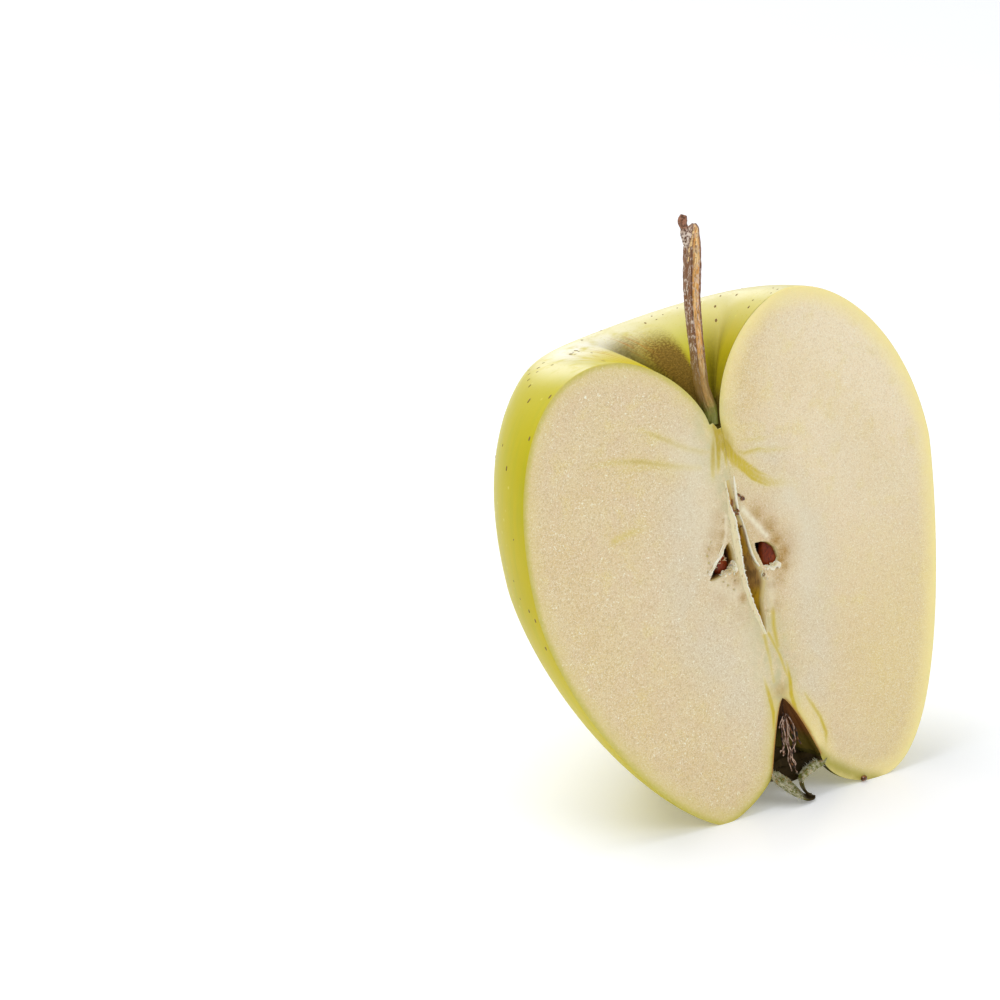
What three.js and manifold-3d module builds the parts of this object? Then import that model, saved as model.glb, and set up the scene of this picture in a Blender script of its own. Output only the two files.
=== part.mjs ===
// Half an apple, cut from stem to eye, resting on the round lobes of its base with the cut face to the front.
// Millimetres. Shapes are drawn in the frame of the core line (x right along the cut, y deep behind it,
// z up the core line), then leaned and rolled into the pose in which the half rests.
import * as THREE from 'three';
import { mergeVertices } from 'three/addons/utils/BufferGeometryUtils.js';
import Module from 'manifold-3d';

const wasm = await Module();
wasm.setup();

const DEGREE = Math.PI / 180;

// Pose of the half: the cut face leans back and the core line tips to the left.
const FACE_LEAN = 10 * DEGREE;
const CORE_TIP = -9.4 * DEGREE;
const SOLE_LEVEL = 0;          // level that the three lowest lobes are flattened to, in the leaned frame
const CUTTER_REACH = 120;        // half width of the block that flattens them

// Five sections through the core line, 45 degrees apart: right cut edge, right back, back, left back and
// left cut edge. Each rises from the stem pit to the shoulder crest and falls over the belly and the foot
// ring to the lip of the eye.
const PIT_RADIUS = 1;
const PIT_HEIGHT = [61.2, 61.5, 61.8, 62.1, 62.4];
const CREST_RADIUS = [17.7, 19.2, 19.0, 21.9, 19.7];
const CREST_HEIGHT = [77.3, 76.2, 76.0, 77.1, 78.3];
const BELLY_RADIUS = [39.3, 37.7, 36.8, 33.5, 38.9];
const BELLY_HEIGHT = [46.2, 47.1, 46.4, 49.0, 46.8];
const FOOT_RADIUS = [16.4, 20.0, 27.0, 20.0, 14.8];
const FOOT_HEIGHT = [-2.75, 2.0, 4.35, 5.7, 2.1];
const LIP_RADIUS = [5.5, 5.3, 5.0, 4.8, 4.5];
const LIP_HEIGHT = [5.7, 7.0, 8.4, 8.4, 6.0];

// Fullness of each stretch of a section, across and along the core line: 2 is an ellipse, less is flatter.
const PIT_WALL_FULLNESS = [[1.86, 1.84, 1.82, 1.8, 1.78], [1.77, 1.7, 1.64, 1.57, 1.5]];
const SHOULDER_FULLNESS = [[1.78, 2.13, 2.04, 2.26, 2.21], [2.05, 2.1, 2.02, 2.16, 2.16]];
const CHEEK_FULLNESS = [[2.16, 1.3, 1.6, 1.25, 1.3], [1.2, 1.45, 1.8, 1.4, 1.67]];
const BASE_FULLNESS = [[1.7, 2.4, 2.2, 2.0, 1.82], [1.95, 1.2, 1.2, 1.2, 1.2]];

// Folds that run up the wall of the stem hollow.
const FOLD_AZIMUTHS = [37 * DEGREE, 108 * DEGREE];
const FOLD_HALF_WIDTH = 9 * DEGREE;
const FOLD_DEPTH = 2.2;

// Steps of the skin: along a section, and round the half.
const SKIN_STEPS = 52;
const ROUND_STEPS = 48;

const CLEARANCE = 0.3;           // gap between neighbouring pieces

// Eye tube: a hollow cone that narrows upwards from the mouth of the eye.
const EYE_CENTRE = 0.3;
const EYE_TOP = 16.9;
const EYE_MOUTH = 4.5;
const EYE_MOUTH_RADIUS = 5.3;
const EYE_TAPER = 0.75;
const EYE_DEPTH_SCALE = 0.85;

// Core: an open seam between the two halves of the seed chamber, and a cell with a seed on each side.
const SEAM_LEFT = [[0.3, 53.5], [-0.9, 48.5], [-0.8, 45], [-1.1, 38], [-0.6, 32], [0.4, 27.6]];
const SEAM_RIGHT = [[0.9, 30], [1.6, 33.2], [2.5, 36.6], [0.9, 39.7], [0.6, 45], [0.9, 50]];
const SEAM_DEPTH = 3;
const LEFT_CELL_MOUTH = [[-7.4, 39.6], [-5, 42.1], [-2.7, 43.5], [-2.6, 41.2], [-3.6, 39.9]];
const RIGHT_CELL_MOUTH = [[2.0, 41.9], [3.6, 41.6], [5.2, 40.3], [5.8, 38.2], [4.9, 37.2], [3.2, 38.1], [2.2, 39.2]];
const CELL_DEPTH = 3.4;
const SEED_LENGTH = 7.6;
const SEED_RADIUS = 1.8;
const SEED_FLATNESS = 0.58;
const SEEDS = {
  seed_left: { centre: [-3.7, 2.2, 41.0], tip: -14 * DEGREE, turn: 24 * DEGREE, mouth: LEFT_CELL_MOUTH },
  seed_right: { centre: [5.5, 1.9, 39.1], tip: 12 * DEGREE, turn: -18 * DEGREE, mouth: RIGHT_CELL_MOUTH },
};

// Stem: its path from the pit to the broken top, and the short knob that leans out beside the top.
const STEM_PATH = [
  [0.15, 1.5, 61.9], [0.45, 1.65, 67], [0.93, 1.8, 71.7], [1.92, 1.95, 77.9],
  [3.37, 2.1, 83.7], [4.9, 2.3, 88.6], [5.9, 2.4, 91.7],
];
const KNOB_PATH = [[5.0, 2.2, 89.3], [4.4, 1.9, 91.6], [4.4, 1.8, 93.4]];
const KNOB_RADIUS = 0.72;
const STEM_RADIUS_FOOT = 0.95;
const STEM_RADIUS_WAIST = 1.06;
const STEM_RADIUS_TOP = 1.32;
const STEM_RIB_HEIGHT = 0.07;
const STEM_STEPS = 30;
const STEM_SIDES = 14;

// Dried flower in the eye: sepals that spring from a collar, and a tuft of stamens up the tube.
const COLLAR_LEVEL = 5.3;
const COLLAR_RADIUS = 4.4;
const COLLAR_HALF_HEIGHT = 0.5;
const COLLAR_HALF_THICKNESS = 0.26;
const SEPALS = [
  {
    path: [
      [-3.9, 0.75, 5.4], [-3.5, 0.5, 4.6], [-2.7, 0.2, 3.8], [-2.0, -0.1, 2.9],
      [-1.35, -0.5, 1.95], [-0.6, -0.9, 1.25], [0.3, -1.15, 0.65], [1.2, -1.2, 0.35],
    ],
    widthAlong: [0.35, 1, 0.1], halfWidth: 1.3, halfThickness: 0.34,
  },
  {
    path: [
      [4.9, 0.7, 4.9], [4.0, 0.5, 4.4], [2.9, 0.2, 4.25], [1.7, 0, 4.0], [0.8, -0.2, 3.5],
      [0.5, -0.5, 2.8], [0.5, -0.8, 2.0], [0.8, -1.05, 1.3], [1.4, -1.2, 0.75],
    ],
    widthAlong: [0, 1, 0.15], halfWidth: 1.1, halfThickness: 0.3,
  },
  {
    path: [[0.4, 3.4, 5.3], [0.3, 4.0, 4.0], [0.2, 3.9, 2.9], [0.3, 3.2, 2.0]],
    widthAlong: [1, 0, 0], halfWidth: 1.7, halfThickness: 0.3,
  },
];
const STAMEN_COUNT = 7;
const STAMEN_RADIUS = 0.24;
const STAMEN_ROOT = [0.5, 0.7, 13.8];
const STAMEN_END = [-0.1, 1.2, 4.6];
const STAMEN_SPREAD = [1.5, 0.8, 1.3];

// Drop of dried sap that hangs on the edge of the cut.
const DROP_CENTRE = [12.05, -0.25, -1.35];
const DROP_RADII = [0.65, 0.65, 0.5];

// Colours of the surfaces.
const FLESH_COLOUR = 0xe2d0a4;
const STEM_COLOUR = 0x8a5a34;
const SEED_COLOUR = 0x5a2313;
const SEPAL_COLOUR = 0x7a6f4e;
const STAMEN_COLOUR = 0x6b4a33;

// A value that changes smoothly round the half, from its values at the five sections: a sum of cosines, so
// that the skin meets the cut square on.
function around(values, azimuth) {
  const last = values.length - 1;
  let total = 0;
  for (let wave = 0; wave <= last; wave += 1) {
    let strength = 0;
    values.forEach((value, index) => {
      const share = index % last === 0 ? 0.5 : 1;
      strength += share * value * Math.cos((wave * index * Math.PI) / last);
    });
    const share = wave % last === 0 ? 0.5 : 1;
    total += (2 / last) * share * strength * Math.cos(wave * azimuth);
  }
  return total;
}

// A point on a quarter of a rounded box: across grows and along shrinks as the angle opens.
function quarter(across, along, fullness, azimuth, angle) {
  return [
    across * Math.sin(angle) ** (2 / around(fullness[0], azimuth)),
    along * Math.cos(angle) ** (2 / around(fullness[1], azimuth)),
  ];
}

// Radius and height of the skin at an azimuth. The station runs from 0 at the pit over 1 at the crest, 2 at
// the belly and 3 at the foot ring to 4 at the lip of the eye.
function skinSection(azimuth, station) {
  const pit = around(PIT_HEIGHT, azimuth);
  const crest = [around(CREST_RADIUS, azimuth), around(CREST_HEIGHT, azimuth)];
  const belly = [around(BELLY_RADIUS, azimuth), around(BELLY_HEIGHT, azimuth)];
  const foot = [around(FOOT_RADIUS, azimuth), around(FOOT_HEIGHT, azimuth)];
  const lip = [around(LIP_RADIUS, azimuth), around(LIP_HEIGHT, azimuth)];
  const stretch = Math.min(Math.floor(station), 3);
  const opening = (station - stretch) * (Math.PI / 2);
  const closing = Math.PI / 2 - opening;
  if (stretch === 0) {
    const [across, along] = quarter(crest[0] - PIT_RADIUS, crest[1] - pit, PIT_WALL_FULLNESS, azimuth, closing);
    return [crest[0] - across, pit + along];
  }
  if (stretch === 1) {
    const [across, along] = quarter(belly[0] - crest[0], crest[1] - belly[1], SHOULDER_FULLNESS, azimuth, opening);
    return [crest[0] + across, belly[1] + along];
  }
  if (stretch === 2) {
    const [across, along] = quarter(belly[0] - foot[0], belly[1] - foot[1], CHEEK_FULLNESS, azimuth, closing);
    return [foot[0] + across, belly[1] - along];
  }
  const [across, along] = quarter(foot[0] - lip[0], lip[1] - foot[1], BASE_FULLNESS, azimuth, opening);
  return [foot[0] - across, lip[1] - along];
}

// How far the wall of the stem hollow sinks into the nearest fold.
function foldSink(azimuth, station) {
  if (station >= 1) {
    return 0;
  }
  const alongWall = Math.sin(Math.PI * station) ** 1.2;
  const acrossFolds = FOLD_AZIMUTHS.reduce(
    (sum, fold) => sum + Math.exp(-(((azimuth - fold) / FOLD_HALF_WIDTH) ** 2)),
    0,
  );
  return FOLD_DEPTH * alongWall * acrossFolds;
}

function skinPoint(azimuth, station) {
  const [radius, height] = skinSection(azimuth, station);
  const sink = foldSink(azimuth, station);
  return [radius * Math.cos(azimuth), Math.max(radius * Math.sin(azimuth), 0), height - sink];
}

function meshOf(positions, triangles) {
  const geometry = new THREE.BufferGeometry();
  geometry.setAttribute('position', new THREE.Float32BufferAttribute(positions.flat(), 3));
  geometry.setIndex(triangles.flat());
  return geometry;
}

// The half as one closed body: the skin, a small floor in the pit and in the eye, and the flat cut face.
function halfBody() {
  const positions = [];
  const triangles = [];
  const at = (row, column) => row * (ROUND_STEPS + 1) + column;
  for (let row = 0; row <= SKIN_STEPS; row += 1) {
    for (let column = 0; column <= ROUND_STEPS; column += 1) {
      const point = skinPoint((Math.PI * column) / ROUND_STEPS, (4 * row) / SKIN_STEPS);
      if (column === ROUND_STEPS) {
        point[1] = 0;
      }
      positions.push(point);
    }
  }
  for (let row = 0; row < SKIN_STEPS; row += 1) {
    for (let column = 0; column < ROUND_STEPS; column += 1) {
      triangles.push([at(row, column), at(row + 1, column), at(row + 1, column + 1)]);
      triangles.push([at(row, column), at(row + 1, column + 1), at(row, column + 1)]);
    }
  }
  const pitFloor = positions.push([0, 0, around(PIT_HEIGHT, Math.PI / 2)]) - 1;
  const eyeFloor = positions.push([0, 0, around(LIP_HEIGHT, Math.PI / 2)]) - 1;
  for (let column = 0; column < ROUND_STEPS; column += 1) {
    triangles.push([pitFloor, at(0, column), at(0, column + 1)]);
    triangles.push([eyeFloor, at(SKIN_STEPS, column + 1), at(SKIN_STEPS, column)]);
  }
  const edge = [pitFloor];
  for (let row = 0; row <= SKIN_STEPS; row += 1) {
    edge.push(at(row, 0));
  }
  edge.push(eyeFloor);
  for (let row = SKIN_STEPS; row >= 0; row -= 1) {
    edge.push(at(row, ROUND_STEPS));
  }
  const outline = edge.map((index) => new THREE.Vector2(positions[index][0], positions[index][2]));
  THREE.ShapeUtils.triangulateShape(outline, []).forEach(([a, b, c]) => {
    const turn = outline[b].clone().sub(outline[a]).cross(outline[c].clone().sub(outline[a]));
    triangles.push(turn > 0 ? [edge[a], edge[b], edge[c]] : [edge[a], edge[c], edge[b]]);
  });
  return meshOf(positions, triangles);
}

// A closed rod along a smooth path. The section at a point is a ring of offsets across the rod: first along
// the given width direction, then at right angles to it.
function rodAlong(path, widthAlong, steps, sides, halfSizeAt) {
  const curve = new THREE.CatmullRomCurve3(path.map((point) => new THREE.Vector3(...point)));
  const positions = [];
  const triangles = [];
  for (let step = 0; step <= steps; step += 1) {
    const share = step / steps;
    const middle = curve.getPointAt(share);
    const tangent = curve.getTangentAt(share);
    const width = new THREE.Vector3(...widthAlong);
    width.addScaledVector(tangent, -width.dot(tangent)).normalize();
    const thickness = new THREE.Vector3().crossVectors(tangent, width);
    for (let side = 0; side < sides; side += 1) {
      const angle = (2 * Math.PI * side) / sides;
      const [halfWidth, halfThickness] = halfSizeAt(share, angle);
      const point = middle.clone();
      point.addScaledVector(width, halfWidth * Math.cos(angle));
      point.addScaledVector(thickness, halfThickness * Math.sin(angle));
      positions.push(point.toArray());
    }
  }
  const start = positions.push(curve.getPointAt(0).toArray()) - 1;
  const end = positions.push(curve.getPointAt(1).toArray()) - 1;
  const endRing = steps * sides;
  for (let side = 0; side < sides; side += 1) {
    const next = (side + 1) % sides;
    triangles.push([start, next, side]);
    triangles.push([end, endRing + side, endRing + next]);
    for (let step = 0; step < steps; step += 1) {
      const ring = step * sides;
      triangles.push([ring + side, ring + next, ring + sides + next]);
      triangles.push([ring + side, ring + sides + next, ring + sides + side]);
    }
  }
  return meshOf(positions, triangles);
}

// A prism that cuts straight back into the face, with the given mouth.
function mouthCutter(mouth, depth, smooth) {
  const corners = mouth.map(([x, z]) => new THREE.Vector2(x, z));
  const shape = new THREE.Shape();
  if (smooth) {
    shape.setFromPoints(new THREE.SplineCurve([...corners, corners[0]]).getPoints(corners.length * 4));
  } else {
    shape.setFromPoints(corners);
  }
  const cutter = new THREE.ExtrudeGeometry(shape, { depth: depth + 1, bevelEnabled: false });
  cutter.rotateX(Math.PI / 2);
  cutter.translate(0, depth, 0);
  return cutter;
}

// The hollow of the eye, from its narrow top to well below the lips.
function eyeTube() {
  const steps = 12;
  const profile = [new THREE.Vector2(0, EYE_TOP)];
  for (let step = 1; step <= steps; step += 1) {
    const share = step / steps;
    const height = EYE_TOP - share * (EYE_TOP - EYE_MOUTH);
    profile.push(new THREE.Vector2(EYE_MOUTH_RADIUS * share ** EYE_TAPER, height));
  }
  profile.push(new THREE.Vector2(EYE_MOUTH_RADIUS, EYE_MOUTH - 8));
  profile.push(new THREE.Vector2(0, EYE_MOUTH - 8));
  const tube = new THREE.LatheGeometry(profile.reverse(), 28);
  tube.rotateX(Math.PI / 2);
  tube.scale(1, EYE_DEPTH_SCALE, 1);
  tube.translate(EYE_CENTRE, 0, 0);
  return tube;
}

// A seed: round at the bottom, pointed at the top, and flattened.
function seedShape({ centre, tip, turn }, swell) {
  const steps = 12;
  const profile = [];
  for (let step = 0; step <= steps; step += 1) {
    const angle = (Math.PI * step) / steps;
    const radius = (SEED_RADIUS * Math.sin(angle) * (1 + 0.35 * Math.cos(angle))) / 1.06;
    const height = -(SEED_LENGTH / 2) * Math.cos(angle);
    const radiusHere = step % steps === 0 ? 0 : radius + swell;
    profile.push(new THREE.Vector2(radiusHere, height * (1 + (2 * swell) / SEED_LENGTH)));
  }
  const seed = new THREE.LatheGeometry(profile, 14);
  seed.rotateX(Math.PI / 2);
  seed.scale(1, SEED_FLATNESS + swell / SEED_RADIUS, 1);
  seed.rotateZ(turn);
  seed.rotateY(tip);
  seed.translate(...centre);
  return seed;
}

function stemShape(swell) {
  return rodAlong(STEM_PATH, [0, 1, 0], STEM_STEPS, STEM_SIDES, (share, angle) => {
    const flare = THREE.MathUtils.smoothstep(share, 0.72, 0.97);
    const foot = 1 - THREE.MathUtils.smoothstep(share, 0, 0.3);
    const waist = STEM_RADIUS_WAIST + foot * (STEM_RADIUS_FOOT - STEM_RADIUS_WAIST);
    const body = waist + flare * (STEM_RADIUS_TOP - STEM_RADIUS_WAIST);
    const ribs = 1 + STEM_RIB_HEIGHT * Math.cos(4 * angle + 3 * share);
    const radius = body * ribs + swell;
    return [radius, radius];
  });
}

function stemKnob() {
  return rodAlong(KNOB_PATH, [0, 1, 0], 6, 10, (share) => {
    const radius = KNOB_RADIUS * (1 - 0.45 * share ** 4);
    return [radius, radius];
  });
}

function sepalShapes() {
  const collarPath = [];
  for (let step = 0; step <= 6; step += 1) {
    const angle = (Math.PI * (step + 0.3)) / 6.6;
    const depth = COLLAR_RADIUS * EYE_DEPTH_SCALE * Math.sin(angle);
    collarPath.push([EYE_CENTRE + COLLAR_RADIUS * Math.cos(angle), depth, COLLAR_LEVEL]);
  }
  const collar = rodAlong(collarPath, [0, 0, 1], 16, 8, () => [COLLAR_HALF_HEIGHT, COLLAR_HALF_THICKNESS]);
  const leaves = SEPALS.map(({ path, widthAlong, halfWidth, halfThickness }) => (
    rodAlong(path, widthAlong, 14, 10, (share) => {
      const taper = Math.sqrt(1 - 0.93 * share ** 1.6);
      return [halfWidth * taper, halfThickness * (0.55 + 0.45 * taper)];
    })
  ));
  return [collar, ...leaves];
}

function stamenShapes() {
  const threads = [];
  for (let index = 0; index < STAMEN_COUNT; index += 1) {
    const swing = Math.sin(2.4 * index + 0.6);
    const sway = Math.cos(2.4 * index + 0.6);
    const end = [
      STAMEN_END[0] + STAMEN_SPREAD[0] * swing,
      STAMEN_END[1] + STAMEN_SPREAD[1] * sway,
      STAMEN_END[2] + STAMEN_SPREAD[2] * (1 + Math.cos(3.7 * index)),
    ];
    const middle = STAMEN_ROOT.map((value, axis) => value + 0.5 * (end[axis] - value));
    middle[0] += 0.35 * sway;
    const path = [STAMEN_ROOT, middle, end];
    threads.push(rodAlong(path, [1, 0, 0], 6, 6, () => [STAMEN_RADIUS, STAMEN_RADIUS]));
  }
  const knot = new THREE.SphereGeometry(0.55, 10, 8);
  knot.translate(...STAMEN_ROOT);
  return [...threads, knot];
}

// Booleans: a geometry becomes a solid, and a solid becomes a geometry again.
const pose = new THREE.Matrix4().makeRotationX(-FACE_LEAN);
pose.multiply(new THREE.Matrix4().makeRotationY(CORE_TIP));

function solidOf(geometry) {
  const posed = geometry.clone().applyMatrix4(pose);
  posed.deleteAttribute('normal');
  posed.deleteAttribute('uv');
  const welded = mergeVertices(posed, 1e-4);
  const corners = Array.from(welded.index.array);
  const kept = [];
  for (let i = 0; i < corners.length; i += 3) {
    const [a, b, c] = corners.slice(i, i + 3);
    if (a !== b && b !== c && c !== a) {
      kept.push(a, b, c);
    }
  }
  return new wasm.Manifold(new wasm.Mesh({
    numProp: 3,
    vertProperties: new Float32Array(welded.attributes.position.array),
    triVerts: new Uint32Array(kept),
  }));
}

function joined(geometries) {
  const [first, ...others] = geometries.map(solidOf);
  return others.reduce((sum, solid) => sum.add(solid), first);
}

function pieceOf(name, solid, colour, roughness) {
  const { vertProperties, triVerts, numProp } = solid.getMesh();
  const geometry = new THREE.BufferGeometry();
  const positions = [];
  for (let i = 0; i < vertProperties.length; i += numProp) {
    positions.push(vertProperties[i], vertProperties[i + 1], vertProperties[i + 2]);
  }
  geometry.setAttribute('position', new THREE.Float32BufferAttribute(positions, 3));
  geometry.setIndex(Array.from(triVerts));
  geometry.computeVertexNormals();
  const material = new THREE.MeshStandardMaterial({ color: colour, roughness, metalness: 0 });
  const piece = new THREE.Mesh(geometry, material);
  piece.name = name;
  return piece;
}

// The flesh with its skin: the half, less the eye, the seam, the seed cells and a socket for the stem,
// with the drop of sap, flattened where it stands.
function fleshSolid() {
  const drop = new THREE.SphereGeometry(1, 12, 8);
  drop.scale(...DROP_RADII);
  drop.translate(...DROP_CENTRE);
  const seam = mouthCutter([...SEAM_LEFT, ...SEAM_RIGHT], SEAM_DEPTH, true);
  const hollows = [eyeTube(), seam, stemShape(CLEARANCE)];
  Object.values(SEEDS).forEach((seed) => {
    hollows.push(mouthCutter(seed.mouth, CELL_DEPTH, false));
    hollows.push(seedShape(seed, CLEARANCE));
  });
  const ground = new THREE.BoxGeometry(2 * CUTTER_REACH, 2 * CUTTER_REACH, CUTTER_REACH);
  ground.translate(0, 0, SOLE_LEVEL - CUTTER_REACH / 2);
  ground.applyMatrix4(pose.clone().invert());
  return joined([halfBody(), drop]).subtract(joined(hollows)).subtract(solidOf(ground));
}

const fruit = new THREE.Group();
fruit.add(pieceOf('flesh', fleshSolid(), FLESH_COLOUR, 0.55));
fruit.add(pieceOf('stem', joined([stemShape(0), stemKnob()]), STEM_COLOUR, 0.7));
Object.entries(SEEDS).forEach(([name, seed]) => {
  fruit.add(pieceOf(name, solidOf(seedShape(seed, 0)), SEED_COLOUR, 0.35));
});
fruit.add(pieceOf('sepals', joined(sepalShapes()), SEPAL_COLOUR, 0.85));
fruit.add(pieceOf('stamens', joined(stamenShapes()), STAMEN_COLOUR, 0.85));

// The origin is under the middle of the half, on the surface that it stands on.
const bounds = new THREE.Box3().setFromObject(fruit);
const middle = bounds.getCenter(new THREE.Vector3());
fruit.position.set(-middle.x, -middle.y, -bounds.min.z);

const appleHalf = new THREE.Group();
appleHalf.add(fruit);

export default appleHalf;
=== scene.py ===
import math

import bpy
import numpy as np
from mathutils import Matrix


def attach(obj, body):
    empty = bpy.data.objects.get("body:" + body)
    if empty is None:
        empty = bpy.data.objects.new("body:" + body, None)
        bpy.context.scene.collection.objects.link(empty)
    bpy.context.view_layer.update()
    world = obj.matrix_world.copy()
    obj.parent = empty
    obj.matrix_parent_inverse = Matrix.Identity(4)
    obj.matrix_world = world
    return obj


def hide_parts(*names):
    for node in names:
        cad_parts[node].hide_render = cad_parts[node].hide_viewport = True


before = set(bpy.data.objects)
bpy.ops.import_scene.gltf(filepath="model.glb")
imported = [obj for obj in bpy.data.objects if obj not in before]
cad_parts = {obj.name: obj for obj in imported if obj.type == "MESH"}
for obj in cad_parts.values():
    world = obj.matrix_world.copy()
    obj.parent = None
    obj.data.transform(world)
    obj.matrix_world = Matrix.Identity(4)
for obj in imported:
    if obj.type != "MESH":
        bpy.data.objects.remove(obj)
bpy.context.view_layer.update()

# ---- Flesh and skin ---------------------------------------------------------------------------
# Half of a ripe yellow-green apple, cut from the stem to the eye: crisp cream flesh in a thin waxy
# skin. It is one closed body. Lengths are in millimetres in the frame of the core line: x right
# along the cut, y deep behind it, h up the core line.
FACE_LEAN = math.radians(10)
CORE_TIP = math.radians(-9.4)
SETTING = (7.767848968505859, -21.832016825675964, 0.0)
METRES = 0.001


def spin(a, b, angle):
    """Turns the pair of coordinates a and b by an angle, from b towards a."""
    return a * math.cos(angle) + b * math.sin(angle), -a * math.sin(angle) + b * math.cos(angle)


def set_down(points):
    """Points of the core-line frame, in millimetres, placed in the frame of the model, in metres."""
    x, y, h = np.moveaxis(np.asarray(points, float), -1, 0)
    across, up = spin(x, h, CORE_TIP)
    deep, high = spin(y, up, FACE_LEAN)
    return (np.stack([across, deep, high], -1) + np.array(SETTING)) * METRES


# Five sections, 45 degrees apart, from the right cut edge round the back to the left cut edge.
PIT_RADIUS = 1.0
PIT_HEIGHT = [61.2, 61.5, 61.8, 62.1, 62.4]
CREST_RADIUS = [17.7, 19.2, 19.0, 21.9, 19.7]
CREST_HEIGHT = [77.3, 76.2, 76.0, 77.1, 78.3]
BELLY_RADIUS = [39.3, 37.7, 36.8, 33.5, 38.9]
BELLY_HEIGHT = [46.2, 47.1, 46.4, 49.0, 46.8]
FOOT_RADIUS = [16.4, 20.0, 27.0, 20.0, 14.8]
FOOT_HEIGHT = [-2.75, 2.0, 4.35, 5.7, 2.1]
LIP_HEIGHT = [5.7, 7.0, 8.4, 8.4, 6.0]
WALL_FULLNESS = [[1.86, 1.84, 1.82, 1.8, 1.78], [1.77, 1.7, 1.64, 1.57, 1.5]]
SHOULDER_FULLNESS = [[1.78, 2.13, 2.04, 2.26, 2.21], [2.05, 2.1, 2.02, 2.16, 2.16]]
CHEEK_FULLNESS = [[2.16, 1.3, 1.6, 1.25, 1.3], [1.2, 1.45, 1.8, 1.4, 1.67]]
BASE_FULLNESS = [[1.7, 2.4, 2.2, 2.0, 1.82], [1.95, 1.2, 1.2, 1.2, 1.2]]
# Folds in the wall of the stem hollow: azimuth and width in degrees, and depth.
FOLDS = [(37, 9, 2.0), (108, 9, 1.5), (108, 3, 1.1), (35, 3, 0.4)]
EYE_TOP = 16.9
EYE_HEIGHT = 12.4
EYE_RADIUS = 5.3
EYE_TAPER = 0.75
EYE_DEPTH = 0.85
EYE_CENTRE = (0.6, 0.25)
EYE_FLUTES = 11
FLUTE_DEPTH = 0.035
EDGE_TURN = 0.004
ROUND_STEPS = 112
WALL_STEPS = 46
SHOULDER_STEPS = 44
CHEEK_STEPS = 58
BASE_STEPS = 36
EYE_STEPS = 34
SKIN_TURN = 37.0
UNEVEN = 0.09


def around(values, azimuth):
    """A value that runs smoothly round the half through its values at the five sections."""
    values = np.asarray(values, float)
    last = len(values) - 1
    ends = np.where(np.arange(last + 1) % last == 0, 0.5, 1.0)
    total = 0
    for wave in range(last + 1):
        strength = (ends * values * np.cos(wave * np.arange(last + 1) * math.pi / last)).sum()
        total = total + (2 / last) * ends[wave] * strength * np.cos(wave * azimuth)
    return total


def quarter(across, along, fullness, azimuth, angle):
    """A quarter of a rounded box: across grows and along shrinks as the angle opens."""
    wide = across * np.sin(angle) ** (2 / around(fullness[0], azimuth))
    tall = along * np.maximum(np.cos(angle), 0) ** (2 / around(fullness[1], azimuth))
    return wide, tall


def eye_ring(azimuth, share):
    """The wall of the eye, from its narrow top at share 0 to its mouth near share 1."""
    flutes = 1 + FLUTE_DEPTH * np.cos(EYE_FLUTES * azimuth + 2 * share) * np.clip(share * 3, 0, 1)
    radius = EYE_RADIUS * share ** EYE_TAPER * flutes
    centre = EYE_CENTRE[0] + (EYE_CENTRE[1] - EYE_CENTRE[0]) * share
    height = EYE_TOP - EYE_HEIGHT * share
    return np.stack([centre + radius * np.cos(azimuth), EYE_DEPTH * radius * np.sin(azimuth), height], -1)


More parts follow.
